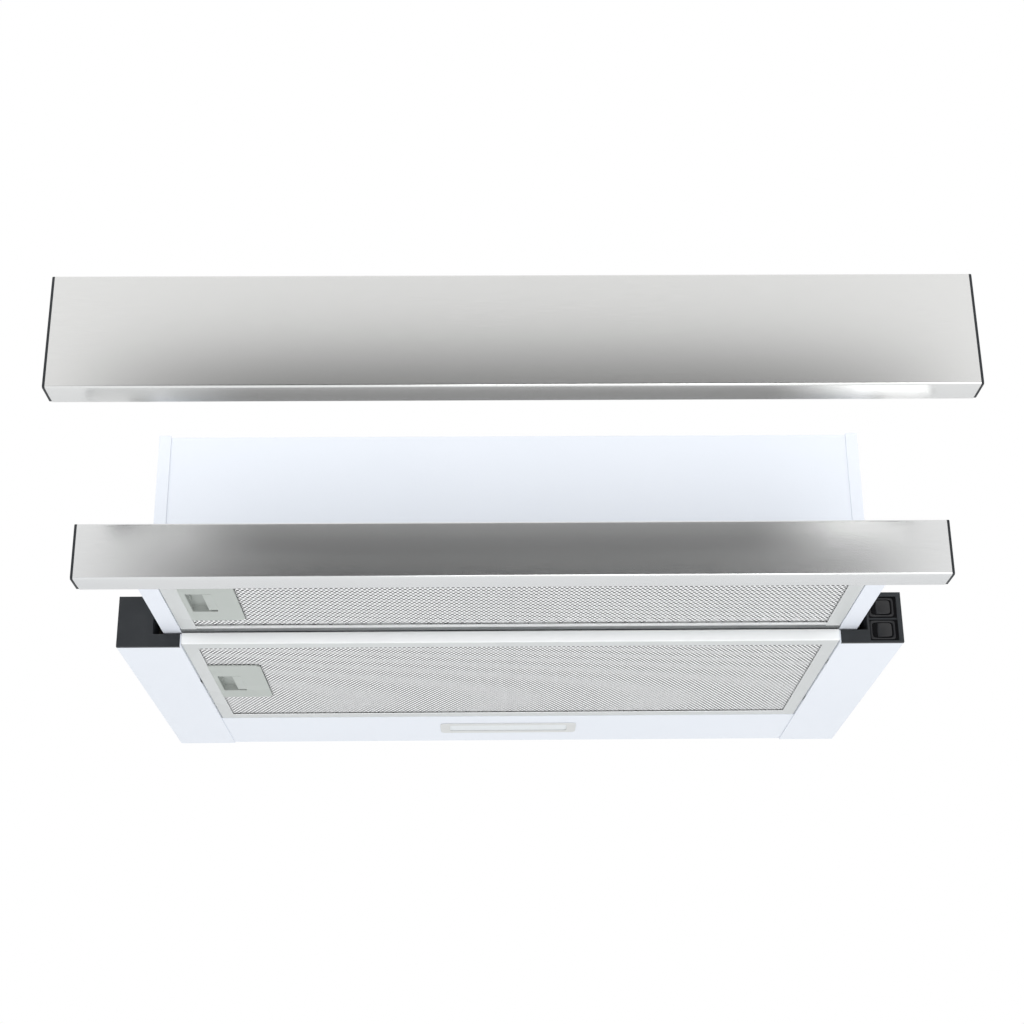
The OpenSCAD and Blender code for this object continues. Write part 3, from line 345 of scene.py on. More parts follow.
# Front, back and top panels of the upper box. Flat steel sheet, the front one folded under at its
# lower edge above the drawer, the top one cut out over the blower and drilled for the duct collar.
for panel in ("front_panel", "back_panel", "top_panel"):
    softened(panel, white_enamel, "housing", 0.3)


# Base channels and the rear panel with the light. They are folded from the same steel: a ledge that
# laps the cupboard's edge, an outer wall, the underside, and a thin lip beside the filter.
for panel in ("left_base_channel", "right_base_channel", "light_panel"):
    softened(panel, white_enamel, "housing", 0.3)


# End blocks. Dark grey ABS mouldings that close the front ends of the base. The left one is blank,
# the right one has a sunk bay for the two switches, and the drawer's sides run through their notches.
grain, grain_in, grain_out = effect("Moulded Grain", {
    "Colour": opaque(0.1, 0.1, 0.1), "Scuff Colour": opaque(0.2, 0.2, 0.2), "Roughness": 0.5,
    "Scale": 2200.0})
pits = step(grain, "ShaderNodeTexVoronoi", [("Vector", grain_in, "Vector"), ("Scale", grain_in, "Scale")])
haze = step(grain, "ShaderNodeTexNoise", [("Vector", grain_in, "Vector")], {"Scale": 60.0, "Detail": 5.0})
hazed = spread(grain, haze, "Fac", 0.45, 0.75), "Result"
scuffed = mixed(grain, hazed, (grain_in, "Colour"), (grain_in, "Scuff Colour"))
dull = roughened(grain, grain_in, hazed, -0.08)
put_out(grain, grain_out, Colour=(scuffed, 2), Roughness=(dull, 0), Height=(pits, "Distance"))


def moulding(name, colour, scuff, edge, rough, scale=2200.0, depth=0.00006, specular=0.4):
    """Moulded plastic with a fine spark-etched grain and edges a little polished by handling."""
    return new_finish(name, {"Specular IOR Level": specular}, grain, edge,
                      {"Amount": 0.6, "Width": 0.0005}, depth, strength=0.6,
                      Colour=opaque(*colour), Scuff_Colour=opaque(*scuff), Roughness=rough, Scale=scale)


dark_plastic = moulding("Dark_Block_Plastic", (0.020, 0.0225, 0.0255), (0.025, 0.0275, 0.0305),
                        (0.075, 0.08, 0.085), 0.52, specular=0.3)
softened("left_end_block", dark_plastic, "housing", 0.45, 3)
softened("right_switch_block", dark_plastic, "housing", 0.35, 3)


# Rocker switches. Two snap-in appliance switches, the fan's above the light's, each a black body with
# a crowned rocker on two pins. Both are at rest with the left end pressed in.
black_plastic = moulding("Black_Switch_Plastic", (0.010, 0.010, 0.0115), (0.014, 0.014, 0.0155),
                         (0.045, 0.045, 0.048), 0.42)
# the plates behind the frames are near black and matt: painted shade in the wells round the rockers
switch_shade_plastic = moulding("Switch_Well_Painted_Shade", (0.003, 0.003, 0.0035), (0.004, 0.004, 0.0045),
                        (0.010, 0.010, 0.011), 0.85, specular=0.12)
rocker_plastic = moulding("Rocker_Plastic", (0.008, 0.008, 0.009), (0.012, 0.012, 0.013),
                          (0.030, 0.030, 0.032), 0.36, scale=3200.0, depth=0.00003, specular=0.5)
rocker_heights = {"fan_rocker": -148.85, "light_rocker": -167.05}
switch_mid, frame_half, well_half = 283.5, (9.7, 7.6), (7.95, 6.0)
rocker_mid, rocker_half, rocker_front = 283.05, (7.25, 5.55), -152.4
# the plates behind a frame: low and high X, half the height, front and back Y
flange_plate = (273.7, 295.3, 8.4, -150.7, -150.45)
back_plate = (276.2, 292.4, 5.8, -142.5, -136.6)


def gathered(*parts):
    """Several (points, faces) put together as one."""
    points, faces, count = [], [], 0
    for some_points, some_faces in parts:
        points.append(np.asarray(some_points, float))
        faces += [[count + corner for corner in face] for face in some_faces]
        count += len(some_points)
    return np.vstack(points), faces


def piece(name, shape, look, body, stands_for, soft_edge=0.0, smooth=35.0):
    """Makes the mesh from points in millimetres, turns its faces outwards, and settles what it
    rides on, its finish and the CAD node that it stands for."""
    points, faces = shape
    mesh = bpy.data.meshes.new(name)
    mesh.from_pydata((np.asarray(points) * 0.001).tolist(), [], faces)
    form = bmesh.new()
    form.from_mesh(mesh)
    bmesh.ops.remove_doubles(form, verts=form.verts, dist=1e-6)
    bmesh.ops.dissolve_degenerate(form, edges=form.edges, dist=1e-7)
    bmesh.ops.recalc_face_normals(form, faces=form.faces)
    form.to_mesh(mesh)
    form.free()
    return finished(name, mesh, look, body, stands_for, soft_edge, smooth)


def along(outline, axis, low, high):
    """An outline carried straight along X, Y or Z between two places: points and faces."""
    outline = np.asarray(outline, float)
    count = len(outline)
    ends = np.repeat([low, high], count)
    points = np.insert(np.vstack([outline, outline]), "XYZ".index(axis), ends, axis=1)
    here = np.arange(count)
    there = (here + 1) % count
    sides = np.column_stack([here, there, there + count, here + count])
    return points, sides.tolist() + [here[::-1].tolist(), (here + count).tolist()]


def soft_square(half, power=6.0, count=72):
    """A square with round corners about the middle: both halves times the cosine and sine of an
    angle, each raised to 2 over the power."""
    t = np.linspace(0, 2 * np.pi, count, endpoint=False)
    bent = [np.sign(f) * np.abs(f) ** (2.0 / power) for f in (np.cos(t), np.sin(t))]
    return np.column_stack([bent[0] * half[0], bent[1] * half[1]])


def rings(loops, closed):
    """Faces between loops of points that follow each other, and back to the first one if closed."""
    loops = np.asarray(loops)
    rows, count = loops.shape[:2]
    i, j = np.meshgrid(np.arange(rows if closed else rows - 1), np.arange(count), indexing="ij")
    k, m = (i + 1) % rows, (j + 1) % count
    faces = np.stack([i * count + j, i * count + m, k * count + m, k * count + j], -1).reshape(-1, 4)
    return loops.reshape(-1, 3), faces.tolist()


def switch_frame(z):
    """The frame round one well. A rounded profile of (share of the way from the well to the outer
    edge, depth) is carried round two soft squares, and both lips meet at the front."""
    outer, inner = soft_square(frame_half, 9.0), soft_square(well_half, 7.0)
    profile = [(0, -137.0), (0, -150.9), (0.12, -151.35), (0.4, -151.55), (0.75, -151.45), (0.95, -151.1),
               (1, -150.5), (0.72, -150.4), (0.72, -137.0)]
    loops = [np.insert(inner + (outer - inner) * share + [switch_mid, z], 1, y, axis=1)
             for share, y in profile]
    return rings(loops, True)


def switch_plate(z, x0, x1, half_height, y0, y1):
    """A flat plate behind the frame at one height."""
    return along(rectangle(x0, z - half_height, x1, z + half_height), "Y", y0, y1)


def rocker_face(u, w):
    """How far the rocker's face stands back from its highest point: a low crown along X that is
    highest right of the middle, a fall towards the upper edge, and the pressed left end, which
    sinks behind a soft step."""
    crown = 0.017 * (u - 3.2) ** 2 + 0.015 * np.clip(w + 1.0, 0, None) ** 2
    step_in = np.clip((-2.85 - u) / 0.7, 0, 1)
    return crown + (3 - 2 * step_in) * step_in ** 2 * 1.15 + 0.05 * np.clip(-3.55 - u, 0, None)


def rocker_pad(z):
    """One rocker: loops of a soft square that shrink to the middle of the face, with a rounded rim,
    and the straight sides behind it down to the foot."""
    sides = [(0.0, 5.2), (0.98, 5.2), (0.98, 1.6)]
    rim = [(1.0, 1.1), (1.0, 0.35), (0.992, 0.13), (0.97, 0.03)]
    top = [(share, 0.0) for share in (0.93, 0.8, 0.66, 0.52, 0.38, 0.22, 0.0)]
    loops = []
    for share, back in sides + rim + top:
        flat = soft_square(rocker_half) * share
        face = rocker_face(flat[:, 0], flat[:, 1]) * (back < 1.2)
        loops.append(np.column_stack([flat[:, 0] + rocker_mid, back + face + rocker_front, flat[:, 1] + z]))
    return rings(loops, False)


for rocker, z in rocker_heights.items():
    piece(rocker.title() + "_Pad", rocker_pad(z), rocker_plastic, rocker.replace("rocker", "switch_rocker"),
          rocker, smooth=50.0)
frames = [switch_frame(z) for z in rocker_heights.values()]
piece("Switch_Frames", gathered(*frames), black_plastic, "housing", "switch_bodies",
      smooth=50.0)
plates = [switch_plate(z, *plate) for plate in (flange_plate, back_plate) for z in rocker_heights.values()]
piece("Switch_Flanges", gathered(*plates), switch_shade_plastic, "housing", "switch_bodies")


# Light. A pale moulded bezel snapped into the rear panel from below, a ribbed frosted lens in it,
# and above the lens a small board with six LEDs, fed by a driver box on the panel.
bezel_plastic = moulding("Bezel_Plastic", (0.655, 0.66, 0.65), (0.63, 0.635, 0.625), (0.74, 0.74, 0.73), 0.42)
softened("light_bezel", bezel_plastic, "housing", 0.3, 3)

lens_low, lens_high, lens_half_x, lens_half_y, light_y = -176.0, -174.5, 53.4, 11.15, 103.5
rib_count, rib_depth, rib_steps = 52, 0.07, 6


def ribbed_lens():
    """A flat block whose underside is a row of shallow waves: the height rises by one less the
    cosine of the place along X, and the sides stay plain."""
    xs = np.linspace(-lens_half_x, lens_half_x, rib_count * rib_steps + 1)
    wave = lens_low + rib_depth * 0.5 * (1 - np.cos(xs / lens_half_x * np.pi * rib_count))
    outline = np.vstack([np.column_stack([xs, wave]), [[lens_half_x, lens_high], [-lens_half_x, lens_high]]])
    return along(outline, "Y", light_y - lens_half_y, light_y + lens_half_y)


frosted_lens = new_finish("Frosted_Lens", {}, grain, (0.9, 0.9, 0.9), {"Amount": 0.3},
                          depth=0.00005, strength=0.5, Colour=opaque(0.75, 0.78, 0.795),
                          Scuff_Colour=opaque(0.73, 0.755, 0.77), Roughness=0.40, Scale=1500.0)
piece("Light_Lens_Ribbed", ribbed_lens(), frosted_lens, "housing", "light_lens")

board_look = moulding("Board_Laminate", (0.70, 0.73, 0.70), (0.62, 0.66, 0.62), (0.5, 0.53, 0.5), 0.45)
driver_look = moulding("Driver_Plastic", (0.78, 0.78, 0.77), (0.74, 0.74, 0.73), (0.85, 0.85, 0.84), 0.45)
softened("led_board", board_look, "housing", 0.1)
softened("led_driver", driver_look, "housing", 1.2, 3)


# Telescopic slides. Roll-formed zinc-plated steel: an outer member on the box, an inner one on the
# drawer, and between them a thin cage with eight steel balls in each of its two rows.
metal, metal_in, metal_out = effect("Rolled Metal", {
    "Colour": opaque(0.6, 0.6, 0.6), "Cloud Colour": opaque(0.5, 0.5, 0.5), "Roughness": 0.35,
    "Cloud Scale": 90.0, "Line Scale": 1800.0})
spangle = step(metal, "ShaderNodeTexVoronoi", [("Vector", metal_in, "Vector"),
                                               ("Scale", metal_in, "Cloud Scale")])
clouded = spread(metal, spangle, "Color", 0.1, 0.9), "Result"
cloudy = mixed(metal, clouded, (metal_in, "Colour"), (metal_in, "Cloud Colour"))
fine = step(metal, "ShaderNodeTexNoise", [("Vector", metal_in, "Vector"), ("Scale", metal_in, "Line Scale")],
            {"Detail": 3.0})
uneven = roughened(metal, metal_in, clouded, 0.12)
put_out(metal, metal_out, Colour=(cloudy, 2), Roughness=(uneven, 0), Height=(fine, "Fac"))


def rolled(name, colour, cloud, rough, edge=None, cloud_scale=90.0, line_scale=1800.0, depth=0.00003,
           metallic=1.0):
    """Sheet or bar metal: clouded plating, fine surface texture, brighter rubbed edges."""
    return new_finish(name, {"Metallic": metallic}, metal, edge or [min(c * 1.2, 0.95) for c in colour],
                      {"Amount": 0.6}, depth, strength=0.5, Colour=opaque(*colour),
                      Cloud_Colour=opaque(*cloud), Roughness=rough, Cloud_Scale=cloud_scale,
                      Line_Scale=line_scale)


zinc_steel = rolled("Zinc_Plated_Steel", (0.66, 0.68, 0.70), (0.58, 0.60, 0.62), 0.32)
cage_steel = rolled("Cage_Steel", (0.50, 0.47, 0.36), (0.45, 0.42, 0.32), 0.34)
for side in ("left", "right"):
    softened(side + "_slide_outer", zinc_steel, "housing", 0.25)
    softened(side + "_slide_inner", zinc_steel, "drawer", 0.25)
    softened(side + "_ball_cage", cage_steel, "ball_cages", 0.12)


# Drawer switch. A black micro-switch on the back panel, whose red button the shut drawer presses.
softened("drawer_sensor", black_plastic, "housing", 0.5)
button_plastic = moulding("Red_Button_Plastic", (0.50, 0.045, 0.030), (0.44, 0.04, 0.03), (0.6, 0.12, 0.1),
                          0.35)
softened("sensor_button", button_plastic, "sensor_plunger", 0.4, 3)


# Drawer. Two folded white sides that carry the front filter, a zinc-plated front rail that the
# fascia is screwed to, and a thin cover on top.
drawer_enamel = enamel("Drawer_Enamel", (0.80, 0.83, 0.89), (0.785, 0.817, 0.878), (0.66, 0.70, 0.77))
for side in ("left", "right"):
    softened("drawer_" + side + "_side", drawer_enamel, "drawer", 0.3)
softened("drawer_front_rail", zinc_steel, "drawer", 0.25)
softened("drawer_top_cover", zinc_steel, "drawer", 0.25)


# Fascias. The fitted one is 40 mm high and the spare one 80 mm. Each is one brushed stainless sheet
# folded back along the top and bottom, with four weld studs behind, and the corner for a name is bare.
brush, brush_in, brush_out = effect("Brushed Grain", {
    "Colour": opaque(0.6, 0.6, 0.6), "Scratch Colour": opaque(0.5, 0.5, 0.5), "Roughness": 0.25,
    "Along": 70.0, "Across": 3800.0})
apart = step(brush, "ShaderNodeSeparateXYZ", [(0, brush_in, "Vector")])
stretched = [(axis, step(brush, "ShaderNodeMath", [(0, apart, axis), (1, brush_in, rate)],
                         operation="MULTIPLY"), 0)
             for axis, rate in (("X", "Along"), ("Y", "Across"), ("Z", "Across"))]
strokes_at = step(brush, "ShaderNodeCombineXYZ", stretched)
strokes = step(brush, "ShaderNodeTexNoise", [("Vector", strokes_at, 0)],
               {"Scale": 1.0, "Detail": 4.0, "Roughness": 0.65})
stroked = spread(brush, strokes, "Fac", 0.3, 0.7), "Result"
scratched = mixed(brush, stroked, (brush_in, "Colour"), (brush_in, "Scratch Colour"))
matt = roughened(brush, brush_in, stroked, 0.05)
put_out(brush, brush_out, Colour=(scratched, 2), Roughness=(matt, 0), Height=stroked)


def brushed(name, colour, scratch, rough):
    """Stainless steel brushed along X. Its highlights stretch across the brushing, so the tangent
    comes from the piece's own grain map, whose first direction is X."""
    look = new_finish(name, {"Metallic": 1.0, "Anisotropic": 0.75, "Anisotropic Rotation": 0.25}, brush,
                      (0.9, 0.9, 0.9), {"Amount": 0.35}, depth=0.00001, strength=0.25, Colour=opaque(*colour),
                      Scratch_Colour=opaque(*scratch), Roughness=rough)
    tree = look.node_tree
    grain_way = step(tree, "ShaderNodeTangent", direction_type="UV_MAP", uv_map="grain")
    wire(tree, (grain_way, "Tangent"), (tree.nodes["Principled BSDF"], "Tangent"))
    return look


def bend_corners(corners, radii, steps=5):
    """A closed outline with its corners rounded. At each corner an arc of the given radius runs
    from one side to the next: the arc's points turn evenly between the two touching points."""
    corners = np.asarray(corners, float)
    radii = np.broadcast_to(np.asarray(radii, float), len(corners))
    back = np.roll(corners, 1, 0) - corners
    on = np.roll(corners, -1, 0) - corners
    back_l, on_l = np.linalg.norm(back, axis=1), np.linalg.norm(on, axis=1)
    back, on = back / back_l[:, None], on / on_l[:, None]
    opening = np.arccos(np.clip((back * on).sum(1), -1, 1))
    reach = np.minimum(radii / np.tan(opening / 2), 0.49 * np.minimum(back_l, on_l))
    radius = reach * np.tan(opening / 2)
    middle = back + on
    middle /= np.linalg.norm(middle, axis=1)[:, None]
    centre = corners + middle * (radius / np.sin(opening / 2))[:, None]
    start, end = corners + back * reach[:, None] - centre, corners + on * reach[:, None] - centre
    t = np.linspace(0, 1, steps + 1)[None, :, None]
    phi = (np.pi - opening)[:, None, None]
    arc = (np.sin((1 - t) * phi) * start[:, None] + np.sin(t * phi) * end[:, None]) / np.sin(phi)
    arc = (centre[:, None] + arc).reshape(-1, 2)
    keep = np.linalg.norm(arc - np.roll(arc, 1, 0), axis=1) > 1e-6
    return arc[keep]


def bent_sheet(line, thickness, radius, steps):
    """The outline of a bent sheet. Each point of its outer line is also offset inwards by the
    sheet's thickness along the mean of its neighbours' normals, and both are rounded, the inner
    bends by the radius less the thickness."""
    line = np.asarray(line, float)
    side = np.diff(line, axis=0)
    normal = np.column_stack([-side[:, 1], side[:, 0]]) / np.linalg.norm(side, axis=1)[:, None]
    before, after = np.vstack([normal[:1], normal]), np.vstack([normal, normal[-1:]])
    inward = (before + after) / (1 + (before * after).sum(1))[:, None]
    inner = line + thickness * inward
    outer_r = np.full(len(line), radius)
    inner_r = np.full(len(line), max(radius - thickness, 0.3))
    turning = np.cross(before, after)
    outer_r, inner_r = np.where(turning < 0, inner_r, outer_r), np.where(turning < 0, outer_r, inner_r)
    outer_r[[0, -1]] = inner_r[[0, -1]] = thickness * 0.2
    return bend_corners(np.vstack([line, inner[::-1]]), np.concatenate([outer_r, inner_r[::-1]]), steps)


def turned_part(profile, axis, centre, sides):
    """A profile of (radius, place along the axis) turned about Y or Z: a grid of profile by angle,
    with a pole where the radius is nothing and a ring closed into itself elsewhere."""
    profile = np.asarray(profile, float)
    angle = np.linspace(0, 2 * np.pi, sides, endpoint=False)
    r, h = profile[:, :1], np.repeat(profile[:, 1:], sides, 1)
    order = {"Y": (0, 2, 1), "Z": (0, 1, 2)}[axis]
    points = np.stack([r * np.cos(angle), r * np.sin(angle), h], -1)[..., order]
    return rings(points + np.asarray(centre, float), True)


fascia_half, fascia_depth, fascia_sheet, fascia_bend = 297.2, 22.0, 0.8, 1.6
# for each: the face's place in Y, its lower edge, and its height
fascia_faces = {"fascia": (-307.5, -177.0, 40.0), "spare_fascia": (-419.5, -88.0, 80.0)}
stud_places, stud_up = (-215.28, -71.76, 71.76, 215.28), 30.0
# a stud's (radius, distance behind the face)
stud_profile = np.array([(1.95, 13.8), (1.95, 20.8), (3.7, 20.8), (4.0, 20.4), (4.0, 0.4), (0.0, 0.4),
                         (0.0, 13.8)])


def folded_fascia(front, low, height):
    """A three-sided sheet profile, open at the back, with its two folds rounded, carried along X."""
    back, high = front + fascia_depth, low + height
    outline = bent_sheet([(back, high), (front, high), (front, low), (back, low)], fascia_sheet,
                         fascia_bend, steps=6)
    return along(outline, "X", -fascia_half, fascia_half)


def weld_studs(front, low):
    """Four round studs on the back of the fascia, each turned about Y."""
    return gathered(*[turned_part(stud_profile + [0, front], "Y", (x, 0, low + stud_up), sides=24)
                      for x in stud_places])


def grain_map(thing):
    """Adds the map that the brushing follows: X first, then height less depth."""
    mesh = thing.data
    corner = np.empty(len(mesh.loops), int)
    mesh.loops.foreach_get("vertex_index", corner)
    spot = np.empty(len(mesh.vertices) * 3)
    mesh.vertices.foreach_get("co", spot)
    spot = spot.reshape(-1, 3)[corner]
    mesh.uv_layers.new(name="grain").data.foreach_set(
        "uv", np.column_stack([spot[:, 0], spot[:, 2] - spot[:, 1]]).ravel())


looks = {"fascia": brushed("Brushed_Fascia_Steel", (0.775, 0.78, 0.78), (0.735, 0.74, 0.74), 0.21),
         "spare_fascia": brushed("Brushed_Spare_Steel", (0.79, 0.79, 0.78), (0.755, 0.755, 0.745), 0.20)}
for name, (front, low, height) in fascia_faces.items():
    body = "drawer" if name == "fascia" else "loose_fascia"
    grain_map(piece(name.title() + "_Sheet", folded_fascia(front, low, height), looks[name], body, name,
                    smooth=50.0))
    grain_map(piece(name.title() + "_Studs", weld_studs(front, low), looks[name], body, name))


# End caps. Dark plastic plates with a lip that plugs into the fascia's open end.
for cap in ("fascia_left_cap", "fascia_right_cap", "spare_left_cap", "spare_right_cap"):
    softened(cap, dark_plastic, "drawer" if cap.startswith("fascia") else "loose_fascia",
             0.35, 3)


# Screws. Zinc-plated pan heads with a small round recess, through the front rail into the fascia's
# studs, and through the duct collar into the top panel.
def pan_screw(head_r, head_h, shank_r, shank_l):
    """A screw's profile about its axis, head up: a domed head with a small round recess, a shank
    with a saw-tooth thread of 1 mm pitch, and a point."""
    dome = np.linspace(0, np.pi / 2, 7)
    head = np.column_stack([head_r - 0.5 * head_h * (1 - np.cos(dome)), head_h * (0.35 + 0.65 * np.sin(dome))])
    turns = np.arange(int(shank_l) * 2)
    thread = np.column_stack([shank_r - 0.35 * (turns % 2), -0.25 - turns * (shank_l - 1.0) / len(turns)])
    return np.vstack([[(0, head_h * 0.45)], [(1.1, head_h * 0.5)], [(1.3, head_h)], head[::-1],
                      [(head_r, 0.0)], [(shank_r, 0.0)], thread, [(0, -shank_l)]])


screw_steel = rolled("Screw_Zinc", (0.70, 0.70, 0.66), (0.62, 0.62, 0.58), 0.30, cloud_scale=400.0)
screw = pan_screw(head_r=3.6, head_h=2.0, shank_r=1.9, shank_l=8.1)
front, low, _ = fascia_faces["fascia"]
rail_screws = [turned_part(screw + [0, front + fascia_depth], "Y", (x, 0, low + stud_up), sides=24)
               for x in stud_places]
piece("Fascia_Screws_Threaded", gathered(*rail_screws), screw_steel, "drawer", "fascia_screws")
collar_corner = 67
collar_screws = [turned_part(screw, "Z", (x, y, 0), sides=24)
                 for x in (-collar_corner, collar_corner) for y in (-collar_corner, collar_corner)]
piece("Collar_Screws_Threaded", gathered(*collar_screws), screw_steel, "housing",
      "spigot_screws")


# Filter cassettes. Aluminium strip folded round the edges of a perforated sheet, with a pleated pad
# of expanded mesh behind it. The tabs hook into the lip at the right and a sprung latch holds the left.
filter_half, border, strip_t = 249.6, 11.3, 1.0
# a hook tab: half its width, how far it starts inside the wall and stands out, and its two heights
hook_half, hook_in, hook_out, hook_low, hook_high = 6.0, 0.5, 3.4, 1.3, 2.8
# for each: front edge, depth, underside, thickness, left and back border, the middle of the latch,
# and the middles of the two hook tabs
cassettes = {"front": (-284.0, 125.0, -166.0, 9.0, 12.3, 6.0, -226.03, (-253.0, -191.0)),
             "rear": (-153.38, 217.88, -176.0, 9.55, 11.1, border, -49.9875, (-96.75, 10.75))}
filter_aluminium_painted_walls = rolled("Filter_Border_Painted_Light", (0.625, 0.64, 0.635), (0.605, 0.62, 0.615), 0.42,
                          cloud_scale=25.0, line_scale=900.0, metallic=0.15)
perforated_aluminium = rolled("Perforated_Aluminium", (0.98, 0.98, 0.98), (0.955, 0.955, 0.955), 0.36,
                              (0.985, 0.985, 0.985), cloud_scale=60.0, metallic=0.3)
# the pad behind the holes is near black: painted shade, lighter only where it faces up
mesh_painted_shade = rolled("Expanded_Mesh_Painted_Shade", (0.024, 0.025, 0.026), (0.014, 0.015, 0.016), 0.60,
                        cloud_scale=700.0, line_scale=1500.0, depth=0.0003, metallic=0.1)


def painted_by_facing(look, colour, near, far, either_way=True):
    """Paints light or shade into a finish as a second colour by how its normal stands: all of it where
    the normal's height is at near, none where it is at far. Either way up counts alike, unless the top alone is
    meant."""
    tree = look.node_tree
    plate = next(part for part in tree.nodes if part.type == "GROUP" and part.node_tree == metal)
    place = next(part for part in tree.nodes if part.type == "TEX_COORD")
    height = step(tree, "ShaderNodeSeparateXYZ", [(0, place, "Normal")]), "Z"
    if either_way:
        height = step(tree, "ShaderNodeMath", [(0, *height)], operation="ABSOLUTE"), 0
    share = spread(tree, *height, min(near, far), max(near, far), float(near < far), float(near > far))
    for socket in ("Colour", "Cloud Colour"):
        two_way = step(tree, "ShaderNodeMix", [(0, share, "Result")],
                       {6: plate.inputs[socket].default_value, 7: opaque(*colour)}, data_type="RGBA")
        wire(tree, (two_way, 2), (plate, socket))


# painted light: the strip's upright faces, the bead's front among them, are painted brighter than its level
# ones, and the pad is painted lighter on top than below
painted_by_facing(filter_aluminium_painted_walls, (0.99, 1.0, 1.0), near=0.35, far=0.75)
painted_by_facing(mesh_painted_shade, (0.42, 0.43, 0.44), near=0.45, far=0.05, either_way=False)


def framed(profile, half_x, half_y, middle_y, widths):
    """A closed profile of (distance inwards, height) carried round a rectangle with mitred corners.
    Each corner's point is the corner less the distance along both sides. The points past the
    middle of the border move with the width of their own side: left, right, front and back."""
    profile = np.asarray(profile, float)
    signs = np.array([[-1, -1], [1, -1], [1, 1], [-1, 1]], float)
    wide = profile[:, 0].max()
    left, right, front, back = np.asarray(widths, float) - wide
    shift = np.array([[left, front], [right, front], [right, back], [left, back]])
    inwards = profile[None, :, :1] + np.where(profile[None, :, :1] > wide / 2, shift[:, None], 0.0)
    flat = signs[:, None] * (np.array([half_x, half_y]) - inwards) + [0.0, middle_y]
    high = np.broadcast_to(profile[None, :, 1:], (4, len(profile), 1))
    return rings(np.concatenate([flat, high], -1), True)


def border_frame(y0, depth, z0, thick, left, back, hooks):
    """A U-shaped strip, open inwards, with rolled outer corners and a hemmed edge, carried round
    the cassette with mitred corners; and the two hook tabs on its right side."""
    top = z0 + thick
    strip = bend_corners([(border, z0), (0, z0), (0, top), (border, top), (border, top - strip_t),
                          (strip_t, top - strip_t), (strip_t, z0 + strip_t), (border, z0 + strip_t)],
                         [0.45, 1.1, 0.6, 0.45, 0.45, 0.3, 0.5, 0.45], 4)
    frame_part = framed(strip, filter_half, depth / 2, y0 + depth / 2, (left, border, border, back))
    tabs = [bend_corners(rectangle(filter_half - hook_in, y - hook_half, filter_half + hook_out, y + hook_half),
                         [0.1, 2.0, 2.0, 0.1]) for y in hooks]
    return gathered(frame_part, *[along(tab, "Z", z0 + hook_low, z0 + hook_high) for tab in tabs])


hole_pitch, hole_r, foil_t = 3.6, 1.27, 0.06
hole_row = hole_pitch * math.sqrt(3) / 2 * 1.024
sheet_half, sheet_up, blank_right, blank_half = 239.4, 1.4, -197.5, 45.0
sheet_lap, short_of_bead = 1.2, 1.0
merge_steps = 2000  # cell corners that round to the same 1/2000 mm are one corner


def perforated(y0, y1, z0, latch_y, right):
    """One half of a thin sheet of round holes in staggered rows. Every hole sits in a six-sided
    cell. The cell's edge and the eight-sided hole give a ring of faces below and above and a wall
    between, cells share their corners, and the sheet's outer edge is closed. The cells are laid
    out over the whole width, and those with their centre on one side make that half, so the two
    halves mesh like teeth. No hole lies under the latch."""
    z1 = z0 + foil_t
    rows, cols = int((y1 - y0) / hole_row), int(2 * sheet_half / hole_pitch)
    j, i = np.meshgrid(np.arange(rows), np.arange(cols), indexing="ij")
    cx = (i - cols / 2 + 0.25 + (j % 2) * 0.5) * hole_pitch
    cy = (y0 + y1) / 2 + (j - (rows - 1) / 2) * hole_row
    centre = np.column_stack([cx.ravel(), cy.ravel()])
    centre = centre[(centre[:, 0] > 0) == right]
    inside = (centre[:, 0] < blank_right) & (np.abs(centre[:, 1] - latch_y) < blank_half)
    centre = centre[~inside]
    p, q = hole_pitch / 2, hole_row / 3
    edge = np.array([(p, 0), (p, q), (0, 2 * q), (-p, q), (-p, 0), (-p, -q), (0, -2 * q), (p, -q)])
    angle = np.arange(8) * np.pi / 4
    hole = hole_r * np.column_stack([np.cos(angle), np.sin(angle)])
    cells = (centre[:, None] + edge).reshape(-1, 2)
    key = np.round(cells * merge_steps).astype(np.int64)
    _, first, shared = np.unique(key[:, 0] * 10**8 + key[:, 1], return_index=True, return_inverse=True)
    corners = cells[first]
    holes = (centre[:, None] + hole).reshape(-1, 2)
    count, extra = len(corners), len(holes)
    rim = shared.reshape(-1, 8)
    bore = np.arange(extra).reshape(-1, 8) + 2 * count
    rim_on, bore_on = np.roll(rim, -1, 1), np.roll(bore, -1, 1)
    below = np.stack([rim, bore, bore_on, rim_on], -1)
    above = np.stack([rim + count, rim_on + count, bore_on + extra, bore + extra], -1)
    wall = np.stack([bore, bore + extra, bore_on + extra, bore_on], -1)
    sides = np.stack([rim, rim_on], -1).reshape(-1, 2)
    _, where, times = np.unique(np.sort(sides, 1) @ [1, count], return_index=True, return_counts=True)
    a, b = sides[where[times == 1]].T
    close = np.column_stack([a, b, b + count, a + count])
    flat = np.vstack([corners, corners, holes, holes])
    high = np.concatenate([np.full(count, z0), np.full(count, z1), np.full(extra, z0), np.full(extra, z1)])
    faces = np.vstack([part.reshape(-1, 4) for part in (below, above, wall, close)])
    return np.column_stack([flat, high]), faces


def large_piece(name, shape, look, body, stands_for):
    """A mesh of many four-sided faces, put in as whole arrays."""
    points, faces = shape
    mesh = bpy.data.meshes.new(name)
    mesh.vertices.add(len(points))
    mesh.vertices.foreach_set("co", (points * 0.001).ravel())
    mesh.loops.add(faces.size)
    mesh.loops.foreach_set("vertex_index", faces.ravel())
    mesh.polygons.add(len(faces))
    mesh.polygons.foreach_set("loop_start", np.arange(len(faces)) * 4)
    mesh.update(calc_edges=True)
    return finished(name, mesh, look, body, stands_for)


